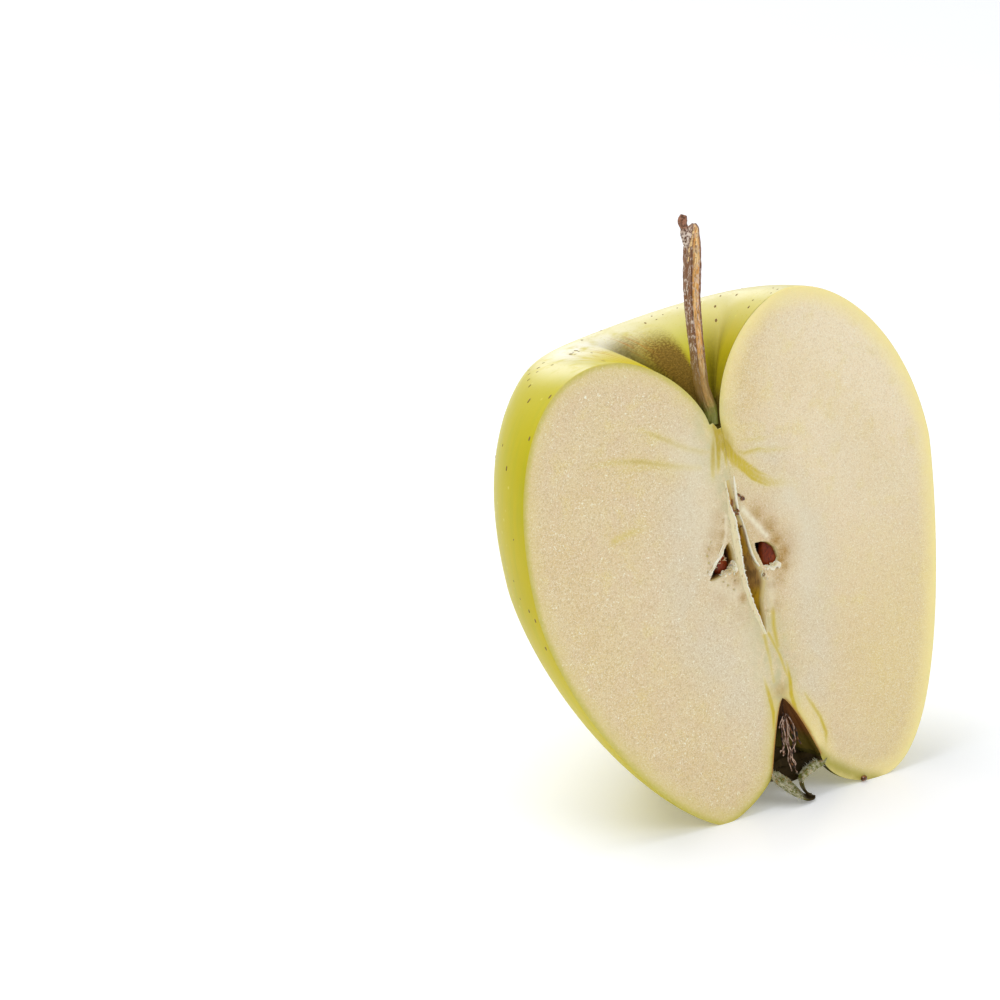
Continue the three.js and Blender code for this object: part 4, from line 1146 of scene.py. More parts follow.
def sweep(name, tree_name, paths, values, finish):
    """Sweeps a thin thread with a small wave in it along each path in the core-line frame."""
    group, given = new_tree(tree_name, values)

    def add(kind, inputs=None, output=0, **settings):
        return add_node(group, kind, inputs, **settings).outputs[output]

    curve = add("GeometryNodeMeshToCurve", {"Mesh": given["Geometry"]})
    even = add("GeometryNodeResampleCurve", {"Curve": curve, "Count": THREAD_STEPS})
    frequency = add("ShaderNodeMath", {0: 1, 1: given["Wave Size"]}, operation="DIVIDE")
    cloud = add(
        "ShaderNodeTexNoise",
        {"Vector": add("GeometryNodeInputPosition"), "W": given["Seed"], "Scale": frequency, "Detail": 1},
        "Color", noise_dimensions="4D",
    )
    centred = add("ShaderNodeVectorMath", {0: cloud, 1: (0.5, 0.5, 0.5)}, operation="SUBTRACT")
    push = add("ShaderNodeVectorMath", {0: centred, "Scale": given["Wave Height"]}, operation="SCALE")
    waved = add("GeometryNodeSetPosition", {"Geometry": even, "Offset": push})
    outline = {"Resolution": THREAD_SIDES, "Radius": given["Thread Radius"]}
    circle = add("GeometryNodeCurvePrimitiveCircle", outline)
    thread = add("GeometryNodeCurveToMesh", {"Curve": waved, "Profile Curve": circle, "Fill Caps": True})
    spread = add(
        "FunctionNodeRandomValue", {"Min": (0.7, 0.7, 0.9), "Max": (1.1, 1.1, 1.8), "Seed": given["Seed"]},
        data_type="FLOAT_VECTOR",
    )
    ends = add("GeometryNodeCurveEndpointSelection", {"Start Size": 0, "End Size": 1})
    knobs = add("GeometryNodeInstanceOnPoints", {
        "Points": waved, "Selection": ends,
        "Instance": add("GeometryNodeMeshIcoSphere", {"Radius": 1, "Subdivisions": 2}),
        "Scale": add("ShaderNodeVectorMath", {0: spread, "Scale": given["Knob Radius"]}, operation="SCALE"),
    })
    has_knob = add("FunctionNodeCompare", {0: given["Knob Radius"], 1: 0}, operation="GREATER_THAN")
    shown = add("GeometryNodeSwitch", {"Switch": has_knob, "True": knobs}, input_type="GEOMETRY")
    both = add_node(group, "GeometryNodeJoinGeometry", {0: shown})
    group.links.new(thread, both.inputs[0])
    end_tree(group, both.outputs[0], finish)
    points, edges = [], []
    for path in paths:
        edges += [(len(points) + step, len(points) + step + 1) for step in range(len(path) - 1)]
        points += list(path)
    return grow(name, bare_piece(name + "_bed", set_down(points), edges), group, values)


rng = np.random.default_rng(21)
fibre_paths = []
for (x, h), (spread_x, spread_h), number, length in FIBRE_GROUPS:
    for index in range(number):
        start = np.array([x + rng.uniform(-1, 1) * spread_x, FIBRE_DEPTH, h + rng.uniform(-1, 1) * spread_h])
        heading = rng.normal(0, 1, 3) * FIBRE_SPREAD + FIBRE_DROOP
        heading = unit(heading) * length * rng.uniform(0.4, 1.0)
        bend = rng.normal(0, FIBRE_BEND, 3) * length
        fibre_paths.append([start, start + 0.5 * heading + bend, start + heading])
core_fibres = sweep("core_fibres", "core_fibre_sweep", fibre_paths, FIBRE_SIZES, parchment)
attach(core_fibres, "root")

# ---- Dried sap --------------------------------------------------------------------------------
# Beads of juice that have dried to a glossy red-brown on the torn parchment, and one larger drop
# that hangs on the edge of the cut, where the skin bruised.
SAP_BROWN = (84, 42, 10)
SAP_AMBER = (166, 98, 30)
SAP_BEADS = [
    ((-0.25, -0.05, 49.5), (0.16, 0.14, 0.55), 10), ((-0.35, -0.1, 48.1), (0.28, 0.18, 0.46), -34),
    ((0.15, -0.05, 47.5), (0.48, 0.14, 0.15), 22), ((0.5, 0, 47.9), (0.16, 0.14, 0.32), -20),
    ((1.75, -0.12, 49.4), (0.34, 0.22, 0.40), -48), ((1.3, -0.05, 50.1), (0.18, 0.14, 0.40), -24),
    ((0.75, 0.45, 45.2), (0.36, 0.12, 0.10), -14), ((-0.35, -0.2, 43.9), (0.14, 0.12, 0.2), 0),
    ((2.5, 0.1, 36.6), (0.18, 0.12, 0.28), 30),
]
SAP_DROP = ((12.05, -0.22, -1.45), (0.60, 0.45, 0.42), 0)
BEAD_STEPS = 14
BEAD_SIDES = 18

sap_gloss = Finish("dried_sap", SAP_BROWN)
sap_gloss.coat(SAP_AMBER, (sap_gloss.noise(0.5, 2), 0.4, 0.7))
sap_gloss.relief(sap_gloss.noise(0.6, 2), 0.3, 0.0001)
sap_gloss.settle(Roughness=0.12, Coat_Weight=0.2)


def bead(centre, radii, tip_degrees):
    angle, side = ball_angles(BEAD_STEPS, BEAD_SIDES)
    lumps = 1 + 0.08 * np.cos(2 * side + 3 * angle + centre[0])
    x = radii[0] * np.sin(angle) * np.cos(side) * lumps
    y = radii[1] * np.sin(angle) * np.sin(side) * lumps
    x, z = spin(x, radii[2] * np.cos(angle) * lumps, math.radians(tip_degrees))
    rings = np.stack([x, y, z], -1) + np.array(centre)
    return shell(rings[1:-1], rings[0, 0], rings[-1, 0])


sap = make_piece("sap_beads", *joined([bead(*drop) for drop in SAP_BEADS + [SAP_DROP]]), sap_gloss)
face_outwards(sap)
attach(sap, "root")

# ---- Stem -------------------------------------------------------------------------------------
# The woody stem stands in the pit. It has two ribs grown side by side with a groove between them,
# flaky bark, a green foot, and a broken top with one rib torn off as a bent knob.
STEM_PATH = [
    (0.15, 1.5, 61.9), (0.62, 1.55, 63.8), (0.49, 1.6, 65.6), (0.42, 1.65, 67.3), (0.5, 1.7, 68.9),
    (0.97, 1.8, 71.9), (1.47, 1.9, 74.9), (1.92, 1.95, 77.9), (2.56, 2, 80.9), (3.37, 2.1, 83.7),
    (4.35, 2.2, 86.6), (5.2, 2.3, 89.3), (5.85, 2.4, 90.9), (6.15, 2.4, 91.6),
]
STEM_RADII = [
    (0, 1.25), (0.05, 1.42), (0.12, 1.22), (0.19, 1.07), (0.25, 1.05), (0.43, 1.13), (0.63, 1.23),
    (0.73, 1.31), (0.83, 1.36), (0.91, 1.25), (0.96, 1.05), (1, 0.85),
]
STEM_RINGS = 210
STEM_SIDES = 72
# Grooves in the bark: angle in degrees, depth, width and twist.
GROOVES = [
    (233, 0.20, 0.15, 0.15), (186, 0.10, 0.12, -0.4), (300, 0.12, 0.14, 0.2), (140, 0.10, 0.16, 0.3),
    (20, 0.12, 0.16, -0.4), (85, 0.10, 0.2, 0.5),
]
KNOB_PATH = [
    (4.3, 2.6, 87.8), (4.3, 2.4, 89.4), (4.2, 2.1, 90.8), (4, 1.9, 92), (4, 1.8, 92.95), (4.45, 1.75, 93.65),
]
KNOB_RADII = [(0, 0.4), (0.25, 0.78), (0.5, 0.76), (0.68, 0.60), (0.86, 0.70), (1, 0.46)]
KNOB_RINGS = 70
KNOB_SIDES = 32
KNOB_CLIMB = (0.86, 1.03)
# Splinters: places (share of the height, degrees round) along each, and its thickness.
SPLINTERS = [
    ([(0.99, 258), (0.965, 246), (0.93, 234), (0.89, 222), (0.85, 212), (0.82, 206)], 0.19),
    ([(0.985, 285), (0.95, 272), (0.90, 262), (0.84, 254), (0.78, 250)], 0.15),
    ([(0.975, 215), (0.955, 208), (0.93, 196)], 0.17),
]
SPLINTER_RINGS = 40
SPLINTER_SIDES = 8
SPLINTER_CLIMB = 0.9
REST_TURN = 3.4
LUMP_WAVES = 28
LUMP_STRETCH = np.array([1.0, 1.0, 0.35])
STEM_BROWN = (142, 92, 48)
STEM_GREY = (156, 120, 92)
STEM_RED = (126, 74, 46)
STEM_GOLD = (234, 168, 84)
STEM_HIGHLIGHT_AND_PEEL = (252, 216, 152)
STEM_DARK = (84, 50, 28)
STEM_PALE = (238, 222, 206)
STEM_OLIVE = (150, 122, 52)
STEM_GREEN = (112, 118, 28)
KNOB_ROSE = (168, 112, 82)


def smooth_path(corners, total):
    """A smooth path through the corners, at even steps."""
    corners = np.asarray(corners, float)
    padded = np.vstack([2 * corners[0] - corners[1], corners, 2 * corners[-1] - corners[-2]])
    pieces = []
    for index in range(1, len(padded) - 2):
        a, b, c, d = padded[index - 1:index + 3]
        t = np.linspace(0, 1, 40, endpoint=False)[:, None]
        pieces.append(0.5 * (2 * b + (c - a) * t + (2 * a - 5 * b + 4 * c - d) * t ** 2
                             + (3 * b - a - 3 * c + d) * t ** 3))
    line = np.vstack(pieces + [corners[-1:]])
    return along_line(line, np.linspace(0, 1, total))


def swept_rod(path, radius_at, sides):
    """Rings of points round a path. The radius is a function of the share along it and the angle."""
    tangent = unit(np.gradient(path, axis=0))
    first_side = unit(np.array([1.0, 0.0, 0.0]) - tangent * tangent[:, :1])
    second_side = np.cross(tangent, first_side)
    share = np.linspace(0, 1, len(path))[:, None]
    angle = np.linspace(0, 2 * math.pi, sides, endpoint=False)[None, :]
    offset = np.cos(angle)[..., None] * first_side[:, None] + np.sin(angle)[..., None] * second_side[:, None]
    return path[:, None] + radius_at(share, angle)[..., None] * offset, tangent


def stem_radius(share, angle):
    ribs = 1 + 0.04 * np.cos(2 * angle + 2.2 * share) + 0.02 * np.cos(5 * angle - 3 * share + 1)
    fine_ribs = 0.016 * np.cos(19 * angle + 4 * np.sin(9 * share)) + 0.012 * np.cos(31 * angle - 11 * share)
    grooves = 0
    for degrees, deep, broad, twist in GROOVES:
        place = math.radians(degrees)
        wander = 0.12 * np.sin(14 * share + 5 * place)
        swing = (angle - place - twist * (share - 0.7) - wander + math.pi) % (2 * math.pi) - math.pi
        grooves = grooves + deep * (0.35 + 0.65 * smooth(share, 0.15, 0.85)) * fill(swing, broad)
    knots = 0.03 * fill(share - 0.30, 0.025) + 0.03 * fill(share - 0.58, 0.02)
    return by_height(STEM_RADII, share) * (ribs + fine_ribs - grooves + knots)


def knob_radius(share, angle):
    ribs = 1 + 0.07 * np.cos(3 * angle + 1) + 0.05 * np.cos(8 * angle + 5 * share)
    return by_height(KNOB_RADII, share) * ribs


def lump_noise(points, size, seed_number):
    """Smooth lumps of about the given size, from a few dozen random waves."""
    generator = np.random.default_rng(seed_number)
    total = np.zeros(points.shape[:-1])
    for index in range(LUMP_WAVES):
        direction = generator.normal(0, 1, 3) * LUMP_STRETCH
        total += np.cos(points @ (direction * 2.2 / size) + generator.uniform(0, FULL_TURN))
    return total / math.sqrt(LUMP_WAVES / 2)


stem_line = smooth_path(STEM_PATH, STEM_RINGS)
stem_rings, stem_run = swept_rod(stem_line, stem_radius, STEM_SIDES)
middle = stem_line[:, None]
stem_bark = 0.024 * lump_noise(stem_rings, 0.7, 8) + 0.014 * lump_noise(stem_rings, 0.30, 9)
stem_rings = stem_rings + unit(stem_rings - middle) * stem_bark[..., None]
share = np.linspace(0, 1, STEM_RINGS)
closing = np.sqrt(np.clip(1 - smooth(share, 0.965, 1.01) ** 2, 0.02, 1))
stem_rings = middle + (stem_rings - middle) * closing[:, None, None]
top_angle = np.linspace(0, 2 * math.pi, STEM_SIDES, endpoint=False)
broken = 0.16 * np.cos(top_angle - 0.2) + 0.07 * np.cos(4 * top_angle + 1)
stem_rings += (smooth(share, 0.93, 1.0)[:, None] * broken[None])[..., None] * stem_run[:, None]
knob_line = smooth_path(KNOB_PATH, KNOB_RINGS)
knob_rings, knob_run = swept_rod(knob_line, knob_radius, KNOB_SIDES)
knob_bark = 0.07 * lump_noise(knob_rings, 0.45, 14)
knob_rings = knob_rings + unit(knob_rings - knob_line[:, None]) * knob_bark[..., None]
shells = [
    shell(stem_rings, stem_line[0], stem_line[-1] + stem_run[-1] * 0.1),
    shell(knob_rings, knob_line[0], knob_line[-1] - knob_run[-1] * 0.15),
]
for places, thickness in SPLINTERS:
    corners = []
    for height_share, degrees in places:
        ring = int(round(height_share * (STEM_RINGS - 1)))
        bark_point = stem_rings[ring, int(round(degrees / 360 * STEM_SIDES)) % STEM_SIDES]
        corners.append(bark_point + 0.04 * (bark_point - stem_line[ring]))
    line = smooth_path(corners, SPLINTER_RINGS)
    splinter, run = swept_rod(
        line, lambda share, angle: thickness * np.sin(math.pi * (0.06 + 0.88 * share)) ** 0.5 + 0 * angle,
        SPLINTER_SIDES,
    )
    splinter = splinter + 0.03 * lump_noise(splinter, 0.5, 31)[..., None]
    shells.append(shell(splinter, line[0], line[-1]))
stem = make_piece("stem_wood", *joined(shells))
face_outwards(stem)

# Marks of the stem: the share up it and the angle round it, in radians. The knob and the splinters
# have a share of their own and one angle.
stem_total, knob_total = [len(points) for points, faces in shells[:2]]
splinter_total = len(stem.data.vertices) - stem_total - knob_total
totals = (stem_total, knob_total, splinter_total)
knob_climb = np.repeat(np.linspace(*KNOB_CLIMB, KNOB_RINGS), KNOB_SIDES)
climb = np.concatenate([
    np.repeat(share, STEM_SIDES), [0, 1], knob_climb, KNOB_CLIMB, np.full(splinter_total, SPLINTER_CLIMB),
])
round_stem = np.concatenate([
    np.tile(top_angle, STEM_RINGS), [0, 0], np.full(knob_total + splinter_total, REST_TURN),
])
swing = np.degrees((round_stem - 0.15 * (climb - 0.7)) % (2 * math.pi))
on_knob = np.repeat([0, 1, 0], totals)
peeled = np.repeat([0, 0, 1], totals)
stem_marks = {
    "climb": climb, "peeled": peeled,
    "grooved": fill(swing - 231, 5) * (1 - on_knob) * (1 - peeled) * smooth(climb, 0.1, 0.3),
    "golden": smooth(swing, 229, 241) * (1 - smooth(swing, 278, 296)) * (1 - on_knob),
    "greyed": smooth(swing, 120, 150) * (1 - smooth(swing, 222, 236)) * (1 - on_knob),
    "knob": on_knob, "turn_x": 1.2 * np.cos(round_stem), "turn_y": 1.2 * np.sin(round_stem),
}
for name, values in stem_marks.items():
    mark(stem, name, values)

bark = Finish("stem_bark", STEM_BROWN)
strand_run = bark.vector("turn_x", "turn_y", bark.count("MULTIPLY", "climb", 3.6))
flake_run = bark.vector("turn_x", "turn_y", bark.count("MULTIPLY", "climb", 11))
grain = bark.noise(0.36, 4, 0.65, place=strand_run)
flakes = bark.noise(0.26, 3, 0.65, place=flake_run)
knob_noise = bark.noise(0.4)
bark.coat(STEM_RED, (grain, 0.36, 0.60))
# The golden rib, its lightest grain painted as highlight.
bark.coat(bark.blend((grain, 0.46, 0.62), STEM_GOLD, STEM_HIGHLIGHT_AND_PEEL), "golden")
bark.coat(STEM_GREY, "greyed", (grain, 0.34, 0.6))
bark.coat(STEM_DARK, (bark.noise(0.16, 3, 0.6, place=strand_run), 0.46, 0.32, 0, 0.8))
# A dark line along the groove between the two ribs: painted shade.
bark.coat(STEM_DARK, "grooved", 0.85)
bark.coat(STEM_BROWN, (bark.noise(0.7, 3, 0.6, place=flake_run), 0.5, 0.36, 0, 0.5))
bark.coat(STEM_PALE, (flakes, 0.51, 0.60), ("climb", 0.10, 0.40), ("greyed", 0, 1, 0.55, 1), 0.85)
knob_colour = bark.blend((knob_noise, 0.38, 0.62), KNOB_ROSE, STEM_DARK)
knob_foot = bark.count("MULTIPLY", ("climb", 0.985, 0.95), (knob_noise, 0.6, 0.45))
bark.coat(bark.blend(knob_foot, knob_colour, STEM_PALE), "knob", 0.9)
# Peeled splinters show pale wood.
bark.coat(bark.blend((bark.noise(0.5, 2), 0.4, 0.6), STEM_HIGHLIGHT_AND_PEEL, STEM_GREY), "peeled")
olive_foot = bark.count("ADD", "climb", bark.count("MULTIPLY", bark.noise(0.8), 0.14))
bark.coat(STEM_OLIVE, (olive_foot, 0.54, 0.26, 0, 0.62))
bark.coat(STEM_GREEN, (olive_foot, 0.24, 0.12, 0, 0.9))
bark.relief(grain, 0.9, 0.00028)
bark.relief(flakes, 0.6, 0.00014)
bark.settle(Roughness=bark.reshape("golden", 0, 1, 0.5, 0.3))
stem.data.materials.append(bark.material)
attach(stem, "root")
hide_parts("stem")

# ---- Sepals -----------------------------------------------------------------------------------
# The dried flower's sepals spring from a thin collar at the mouth of the eye and curl inwards and
# down to dark tips. They are leathery, grey-green and covered in short pale down.
COLLAR_LEVEL = 5.4
SEPALS = [
    ("left", [(-4.2, 0.9, 5.9), (-3.9, 0.7, 5.2), (-3.43, 0.5, 4.5), (-2.7, 0.2, 3.6), (-2.04, -0.15, 2.7),
              (-1.42, -0.55, 1.85), (-0.9, -0.9, 1.2), (-0.2, -1.1, 0.6), (0.5, -1.2, 0.25),
              (1.1, -1.2, 0.12), (1.4, -1.15, 0.4)],
     (0.45, 1, 0.35),
     [(0, 1.5), (0.2, 2), (0.42, 1.95), (0.6, 1.5), (0.75, 0.85), (0.9, 0.5), (1, 0.3)], 0.5),
    ("right", [(6, 0.9, 4.75), (4.98, 0.6, 4.35), (3.35, 0.4, 4.25), (1.82, 0.1, 4.08), (0.65, -0.15, 3.6),
               (0.12, -0.45, 2.9), (0, -0.75, 2.1), (0.25, -1, 1.3), (0.6, -1.15, 0.8), (1, -1.2, 0.6)],
     (0.1, 1, 0.3), [(0, 0.9), (0.25, 1.05), (0.5, 0.8), (0.72, 0.5), (0.88, 0.4), (1, 0.3)], 0.4),
    ("back", [(0.8, 3.9, 8.2), (1.1, 4.2, 6.6), (1.4, 4.1, 5), (1.5, 3.7, 3.4), (1.4, 3, 2.3)],
     (1, 0, 0), [(0, 4.2), (0.35, 4.6), (0.6, 4.6), (0.85, 3), (1, 1.2)], 0.5),
]
SEPAL_HALF_THICKNESS = 0.11
SEPAL_LONG_STEPS = 64
SEPAL_WIDE_STEPS = 22
DOWN_SIZES = {"Hair Length": 0.00055, "Hair Radius": 0.00003, "Density": 9000000.0, "Seed": 2}
DOWNLESS_TIP = 0.72
COLLAR_ROWS = 10
COLLAR_GAP = 0.05
COLLAR_STEPS = 90
SEPAL_OLIVE = (110, 112, 44)
SEPAL_GREY = (186, 182, 150)
SEPAL_BROWN = (60, 46, 16)
SEPAL_TAN = (176, 132, 86)
DOWN_PALE = (230, 228, 208)

leather = Finish("sepal_leather", SEPAL_OLIVE)
patches = leather.noise(0.9, 3, 0.6)
leather.coat(SEPAL_GREY, (patches, 0.4, 0.62))
leather.coat(SEPAL_TAN, (leather.noise(0.5, 2), 0.55, 0.7, 0, 0.8))
leather.coat(SEPAL_BROWN, ("tip", 0.62, 0.86))
leather.relief(patches, 0.7, 0.0003)
leather.settle(Roughness=0.7, Specular_IOR_Level=0.2)

sepal_pieces = []
share = np.linspace(0, 1, SEPAL_LONG_STEPS)
across = np.linspace(-1, 1, SEPAL_WIDE_STEPS)[:, None]
for name, corners, width_along, widths, cup in SEPALS:
    path = smooth_path(corners, SEPAL_LONG_STEPS)
    tangent = unit(np.gradient(path, axis=0))
    width_along = np.asarray(width_along, float)
    width_line = unit(width_along - tangent * (tangent @ width_along)[:, None])
    thick_line = np.cross(tangent, width_line)
    half_width = by_height(widths, share)
    phase = np.random.default_rng(len(name)).uniform(0, 6)
    torn = 1 + 0.07 * np.cos(17 * share + phase) + 0.05 * np.cos(31 * share + 1)
    bow = cup * (across ** 2 - 0.4) * half_width + 0.07 * np.cos(9 * share + 4 * across)
    grid = path + width_line * (across * half_width * torn)[..., None] + thick_line * bow[..., None]
    leaf = thin_sheet("sepal_" + name, grid, SEPAL_HALF_THICKNESS, leather)
    mark(leaf, "tip", np.tile(np.maximum(share, 0.9) if name == "back" else share, SEPAL_WIDE_STEPS * 2))
    sepal_pieces.append(leaf)

collar_turn = np.linspace(COLLAR_GAP, math.pi - COLLAR_GAP, COLLAR_STEPS)
collar_line = eye_ring(collar_turn, np.full(COLLAR_STEPS, (EYE_TOP - COLLAR_LEVEL) / EYE_HEIGHT))
collar_rise = 0.35 * np.cos(5 * collar_turn) + 0.12 * np.cos(13 * collar_turn)
part = np.linspace(0, 1, COLLAR_ROWS)[:, None]
spread = 0.30 - 0.45 * part
drop = 0.4 - part - 0.5 * collar_rise * part
collar_grid = collar_line + np.stack([spread * np.cos(collar_turn), spread * np.sin(collar_turn), drop], -1)
collar = thin_sheet("sepal_collar", collar_grid, SEPAL_HALF_THICKNESS, leather)
mark(collar, "tip", np.full(2 * COLLAR_ROWS * COLLAR_STEPS, 0.9))
sepal_pieces.append(collar)

down_finish = Finish("sepal_down", DOWN_PALE)
down_finish.coat(SEPAL_GREY, (down_finish.noise(0.8, 2), 0.4, 0.65))
down_finish.settle(Roughness=0.6)

down_tree, given = new_tree("down_on_sepals", DOWN_SIZES)
tip = add_node(down_tree, "GeometryNodeInputNamedAttribute", {"Name": "tip"}, data_type="FLOAT")
bare_tip = add_node(
    down_tree, "ShaderNodeMath", {0: tip.outputs["Attribute"], 1: DOWNLESS_TIP}, operation="LESS_THAN",
)
thinned = add_node(
    down_tree, "ShaderNodeMath", {0: given["Density"], 1: bare_tip.outputs[0]}, operation="MULTIPLY",
)
scattered = add_node(
    down_tree, "GeometryNodeDistributePointsOnFaces",
    {"Mesh": given["Geometry"], "Density": thinned.outputs[0], "Seed": given["Seed"]},
)
hair = add_node(
    down_tree, "GeometryNodeMeshCone",
    {"Vertices": 3, "Side Segments": 1, "Radius Top": 0, "Radius Bottom": given["Hair Radius"],
     "Depth": given["Hair Length"]},
)
lean_by = add_node(
    down_tree, "FunctionNodeRandomValue", {"Min": (-1, -1, -1), "Max": (1, 1, 1), "Seed": given["Seed"]},
    data_type="FLOAT_VECTOR",
)
leaned = add_node(
    down_tree, "ShaderNodeVectorMath", {0: scattered.outputs["Normal"], 1: lean_by.outputs[0]},
    operation="ADD",
)
upright = add_node(down_tree, "FunctionNodeAlignRotationToVector", {"Vector": leaned.outputs[0]}, axis="Z")
sizes = add_node(
    down_tree, "FunctionNodeRandomValue", {"Min": 0.5, "Max": 1.3, "Seed": given["Seed"]}, data_type="FLOAT",
)
hairs = add_node(
    down_tree, "GeometryNodeInstanceOnPoints",
    {"Points": scattered.outputs["Points"], "Instance": hair.outputs[0], "Rotation": upright.outputs[0],
     "Scale": sizes.outputs[1]},
)
end_tree(down_tree, hairs.outputs[0], down_finish)

leaves, tips = [], []
for piece in sepal_pieces:
    mesh = piece.data
    leaves.append(([vertex.co[:] for vertex in mesh.vertices], [face.vertices[:] for face in mesh.polygons]))
    tips += [item.value for item in mesh.attributes["tip"].data]
down_points, down_faces = joined(leaves)
down_bed = bare_piece("down_bed", down_points, faces=down_faces)
mark(down_bed, "tip", tips)
down = grow("sepal_down", down_bed, down_tree, DOWN_SIZES)
for piece in sepal_pieces:
    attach(piece, "root")
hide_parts("sepals")
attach(down, "root")

# ---- Stamens ----------------------------------------------------------------------------------
# The withered stamens hang as a tuft from the top of the eye. Each is a thin dry thread, swept
# along its own path, with the remains of a pale anther at its end.
STAMEN_SIZES = {
    "Thread Radius": 0.00007, "Wave Height": 0.0007, "Wave Size": 0.0013, "Knob Radius": 0.00014, "Seed": 7,
}
RIBBON_SIZES = {
    "Thread Radius": 0.00015, "Wave Height": 0.0007, "Wave Size": 0.002, "Knob Radius": 0.0, "Seed": 3,
}
STAMEN_PATHS = [
    [(0.12, 0.7, 13.6), (-0.07, 0.7, 11.5), (-0.23, 0.65, 9.8), (-0.24, 0.6, 8.8), (-0.41, 0.6, 7.5),
     (-0.57, 0.55, 6.2), (-0.47, 0.5, 5.1)],
    [(1.3, 0.9, 13.8), (1.96, 0.8, 12.2), (1.92, 0.7, 11), (1.64, 0.6, 9), (0.99, 0.6, 8.3),
     (0.04, 0.7, 7.6)],
    [(0.39, 0.7, 13.86), (-0.4, 0.6, 13.2), (-0.95, 0.5, 12.6)],
    [(0.4, 0.7, 13.3), (-0.5, 0.6, 12.1), (-0.8, 0.6, 10.4), (-0.8, 0.6, 9), (-1.5, 0.6, 8.6)],
    [(0, 0.6, 7.5), (0.57, 0.5, 5.9), (0.17, 0.4, 5.2), (0.34, 0.4, 4.4)],
    [(1.1, 0.9, 14), (0.8, 0.8, 12.3), (0.5, 0.7, 10.6), (0, 0.6, 9.5), (0.2, 0.5, 8.2), (-0.2, 0.5, 7)],
    [(0.8, 1.1, 13.6), (1.1, 1, 11.8), (0.9, 0.9, 10.2), (1.3, 0.8, 8.8), (1.2, 0.8, 7.6)],
    [(0.3, 1.2, 13.5), (-0.2, 1.1, 11.6), (-0.4, 1, 10), (-0.9, 0.9, 8.9), (-0.8, 0.9, 7.8)],
    [(0.6, 0.9, 10.4), (0.2, 0.7, 9), (0.5, 0.6, 7.8), (0.1, 0.5, 6.8), (0.3, 0.4, 5.8)],
    [(-0.2, 0.8, 10.8), (-0.5, 0.7, 9.6), (-1.1, 0.6, 9), (-1.2, 0.6, 7.9)],
]
STAMEN_RIBBONS = [
    [(0.9, 1.3, 14.2), (1, 1.2, 12.4), (0.6, 1.1, 10.6), (0.4, 1, 9.2), (0.2, 1, 7.4), (-0.1, 0.9, 5.9)],
    [(1.6, 1.4, 13.9), (2.2, 1.3, 12.2), (1.9, 1.2, 10.2), (1.5, 1.2, 8.4)],
    [(0.3, 1.2, 13.9), (0, 1.1, 12), (-0.6, 1.1, 10.4), (-0.7, 1, 8.4)],
    [(0.5, 0.9, 13.4), (0.2, 0.85, 11.4), (0, 0.8, 9.6), (0.1, 0.75, 8), (-0.3, 0.7, 6.4), (0.1, 0.6, 5.2)],
    [(1, 1, 13.2), (1.4, 0.9, 11.4), (1.5, 0.9, 9.8), (1, 0.8, 8.6), (0.5, 0.8, 7.2)],
    [(-0.1, 0.9, 12.6), (-0.7, 0.8, 11), (-0.9, 0.8, 9.6), (-1.2, 0.8, 8.2)],
    [(1.9, 1.2, 12.6), (2.5, 1.1, 10.8), (2.3, 1.1, 9.4), (2.7, 1, 8.2)],
]
STAMEN_BROWN = (84, 52, 34)
STAMEN_PALE_HIGHLIGHT = (214, 180, 156)

stamen = Finish("stamen_thread", STAMEN_BROWN)
# Pale stretches along the dark threads: painted highlights.
stamen.coat(STAMEN_PALE_HIGHLIGHT, (stamen.noise(1.3, 3, 0.7), 0.42, 0.60))
stamen.relief(stamen.noise(0.3, 2), 0.5, 0.0001)
stamen.settle(Roughness=0.55)
stamens = sweep("stamen_tuft", "stamen_sweep", STAMEN_PATHS, STAMEN_SIZES, stamen)

ribbon = Finish("style_ribbon", EYE_DARK)
ribbon.coat(EYE_RED, (ribbon.noise(0.7), 0.38, 0.66))
ribbon.relief(ribbon.noise(0.3, 2), 0.5, 0.0001)
ribbon.settle(Roughness=0.6)
ribbons = sweep("style_ribbons", "ribbon_sweep", STAMEN_RIBBONS, RIBBON_SIZES, ribbon)

for piece in (stamens, ribbons):
    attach(piece, "root")
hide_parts("stamens")

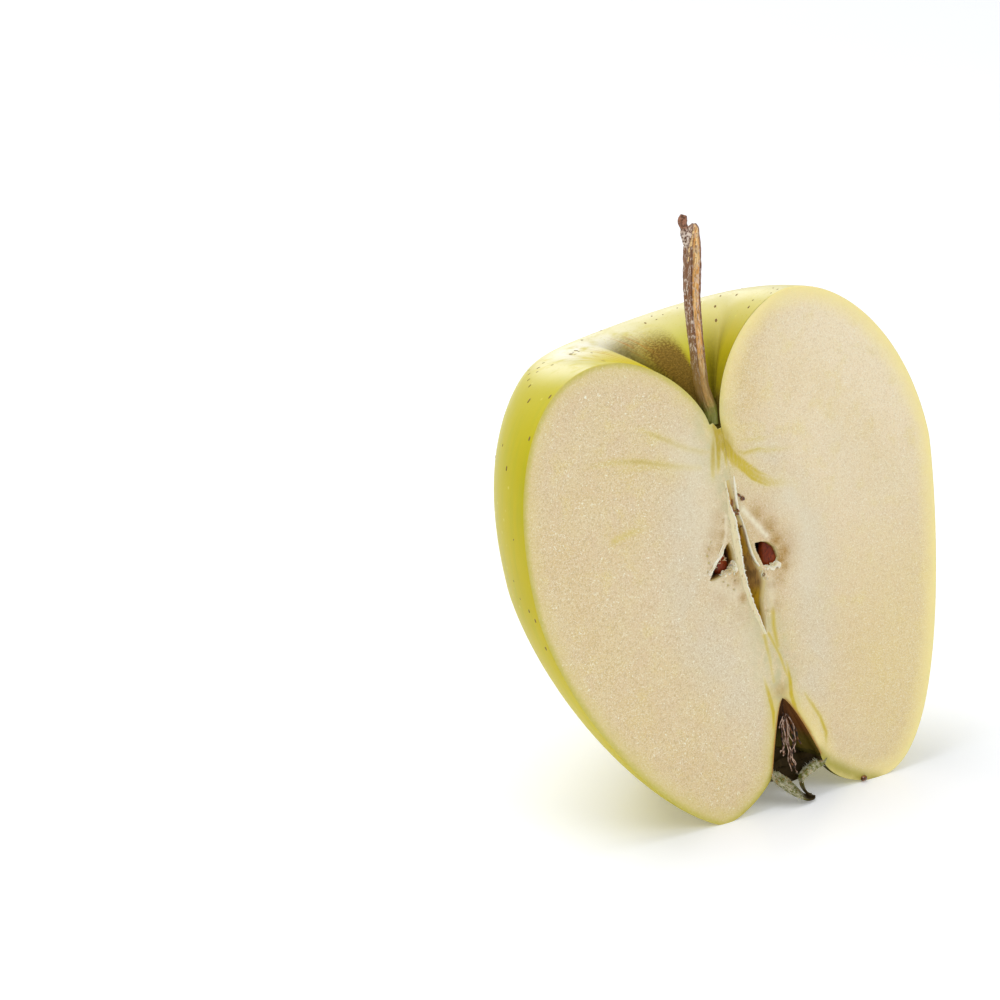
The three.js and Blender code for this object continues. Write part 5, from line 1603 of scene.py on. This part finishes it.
# ---- Floor, light and camera ------------------------------------------------------------------
# A plain white table top with a soft gloss, under a bright even studio: a large soft light from
# above and behind, a low one behind the fruit, a weaker one from the front, and a white surround.
FLOOR_HALF_SIZE = 6.0
FLOOR_WHITE = (243, 246, 251)
FLOOR_SHADE = (241, 244, 249)
# The table top glows a little, which lifts the shadows on it: painted light.
FLOOR_GLOW = 0.19
WHITE = (1, 1, 1, 1)
CAMERA_PLACE = (-0.407210, -0.514803, 0.283097)
CAMERA_TURN = (math.radians(70), 0, math.radians(-35.93))
CAMERA_LENS = 163.636
SENSOR_WIDTH = 36
SURROUND = 0.51
LAMP_AIM = (0, 0, 0.04)
# Lamps: name, place, diameter in metres and power in watts.
LAMPS = [
    ("light_top", (-0.18, 0.22, 0.80), 0.6, 4.2),
    ("light_back", (0.36, 0.84, 0.24), 0.3, 0.7),
    ("light_front", (0.30, -0.70, 0.60), 0.7, 2.05),
]

table = Finish("white_table", FLOOR_WHITE)
table.coat(FLOOR_SHADE, table.noise(60, 2))
table.settle(Roughness=0.28, Specular_IOR_Level=0.3, Emission_Color=WHITE, Emission_Strength=FLOOR_GLOW)
floor_corners = FLOOR_HALF_SIZE * np.array([(-1, -1, 0), (1, -1, 0), (1, 1, 0), (-1, 1, 0)])
floor = bare_piece("floor", floor_corners, faces=[(0, 1, 2, 3)])
floor.data.materials.append(table.material)

surround = bpy.data.worlds.new("studio_surround")
bpy.context.scene.world = surround
surround.use_nodes = True
backdrop = next(node for node in surround.node_tree.nodes if node.type == "BACKGROUND")
backdrop.inputs["Color"].default_value = WHITE
backdrop.inputs["Strength"].default_value = SURROUND

for name, place, diameter, power in LAMPS:
    lamp = bpy.data.lights.new(name, "AREA")
    lamp.shape = "DISK"
    lamp.size = diameter
    lamp.energy = power
    source = place_object(name, lamp)
    source.location = place
    x, y, z = np.array(place) - np.array(LAMP_AIM)
    source.rotation_euler = (math.atan2(math.hypot(x, y), z), 0, math.atan2(x, -y))

camera = place_object("camera", bpy.data.cameras.new("camera"))
camera.data.lens = CAMERA_LENS
camera.data.sensor_width = SENSOR_WIDTH
camera.location = CAMERA_PLACE
camera.rotation_euler = CAMERA_TURN
bpy.context.scene.camera = camera
bpy.context.scene.view_settings.view_transform = "Standard"
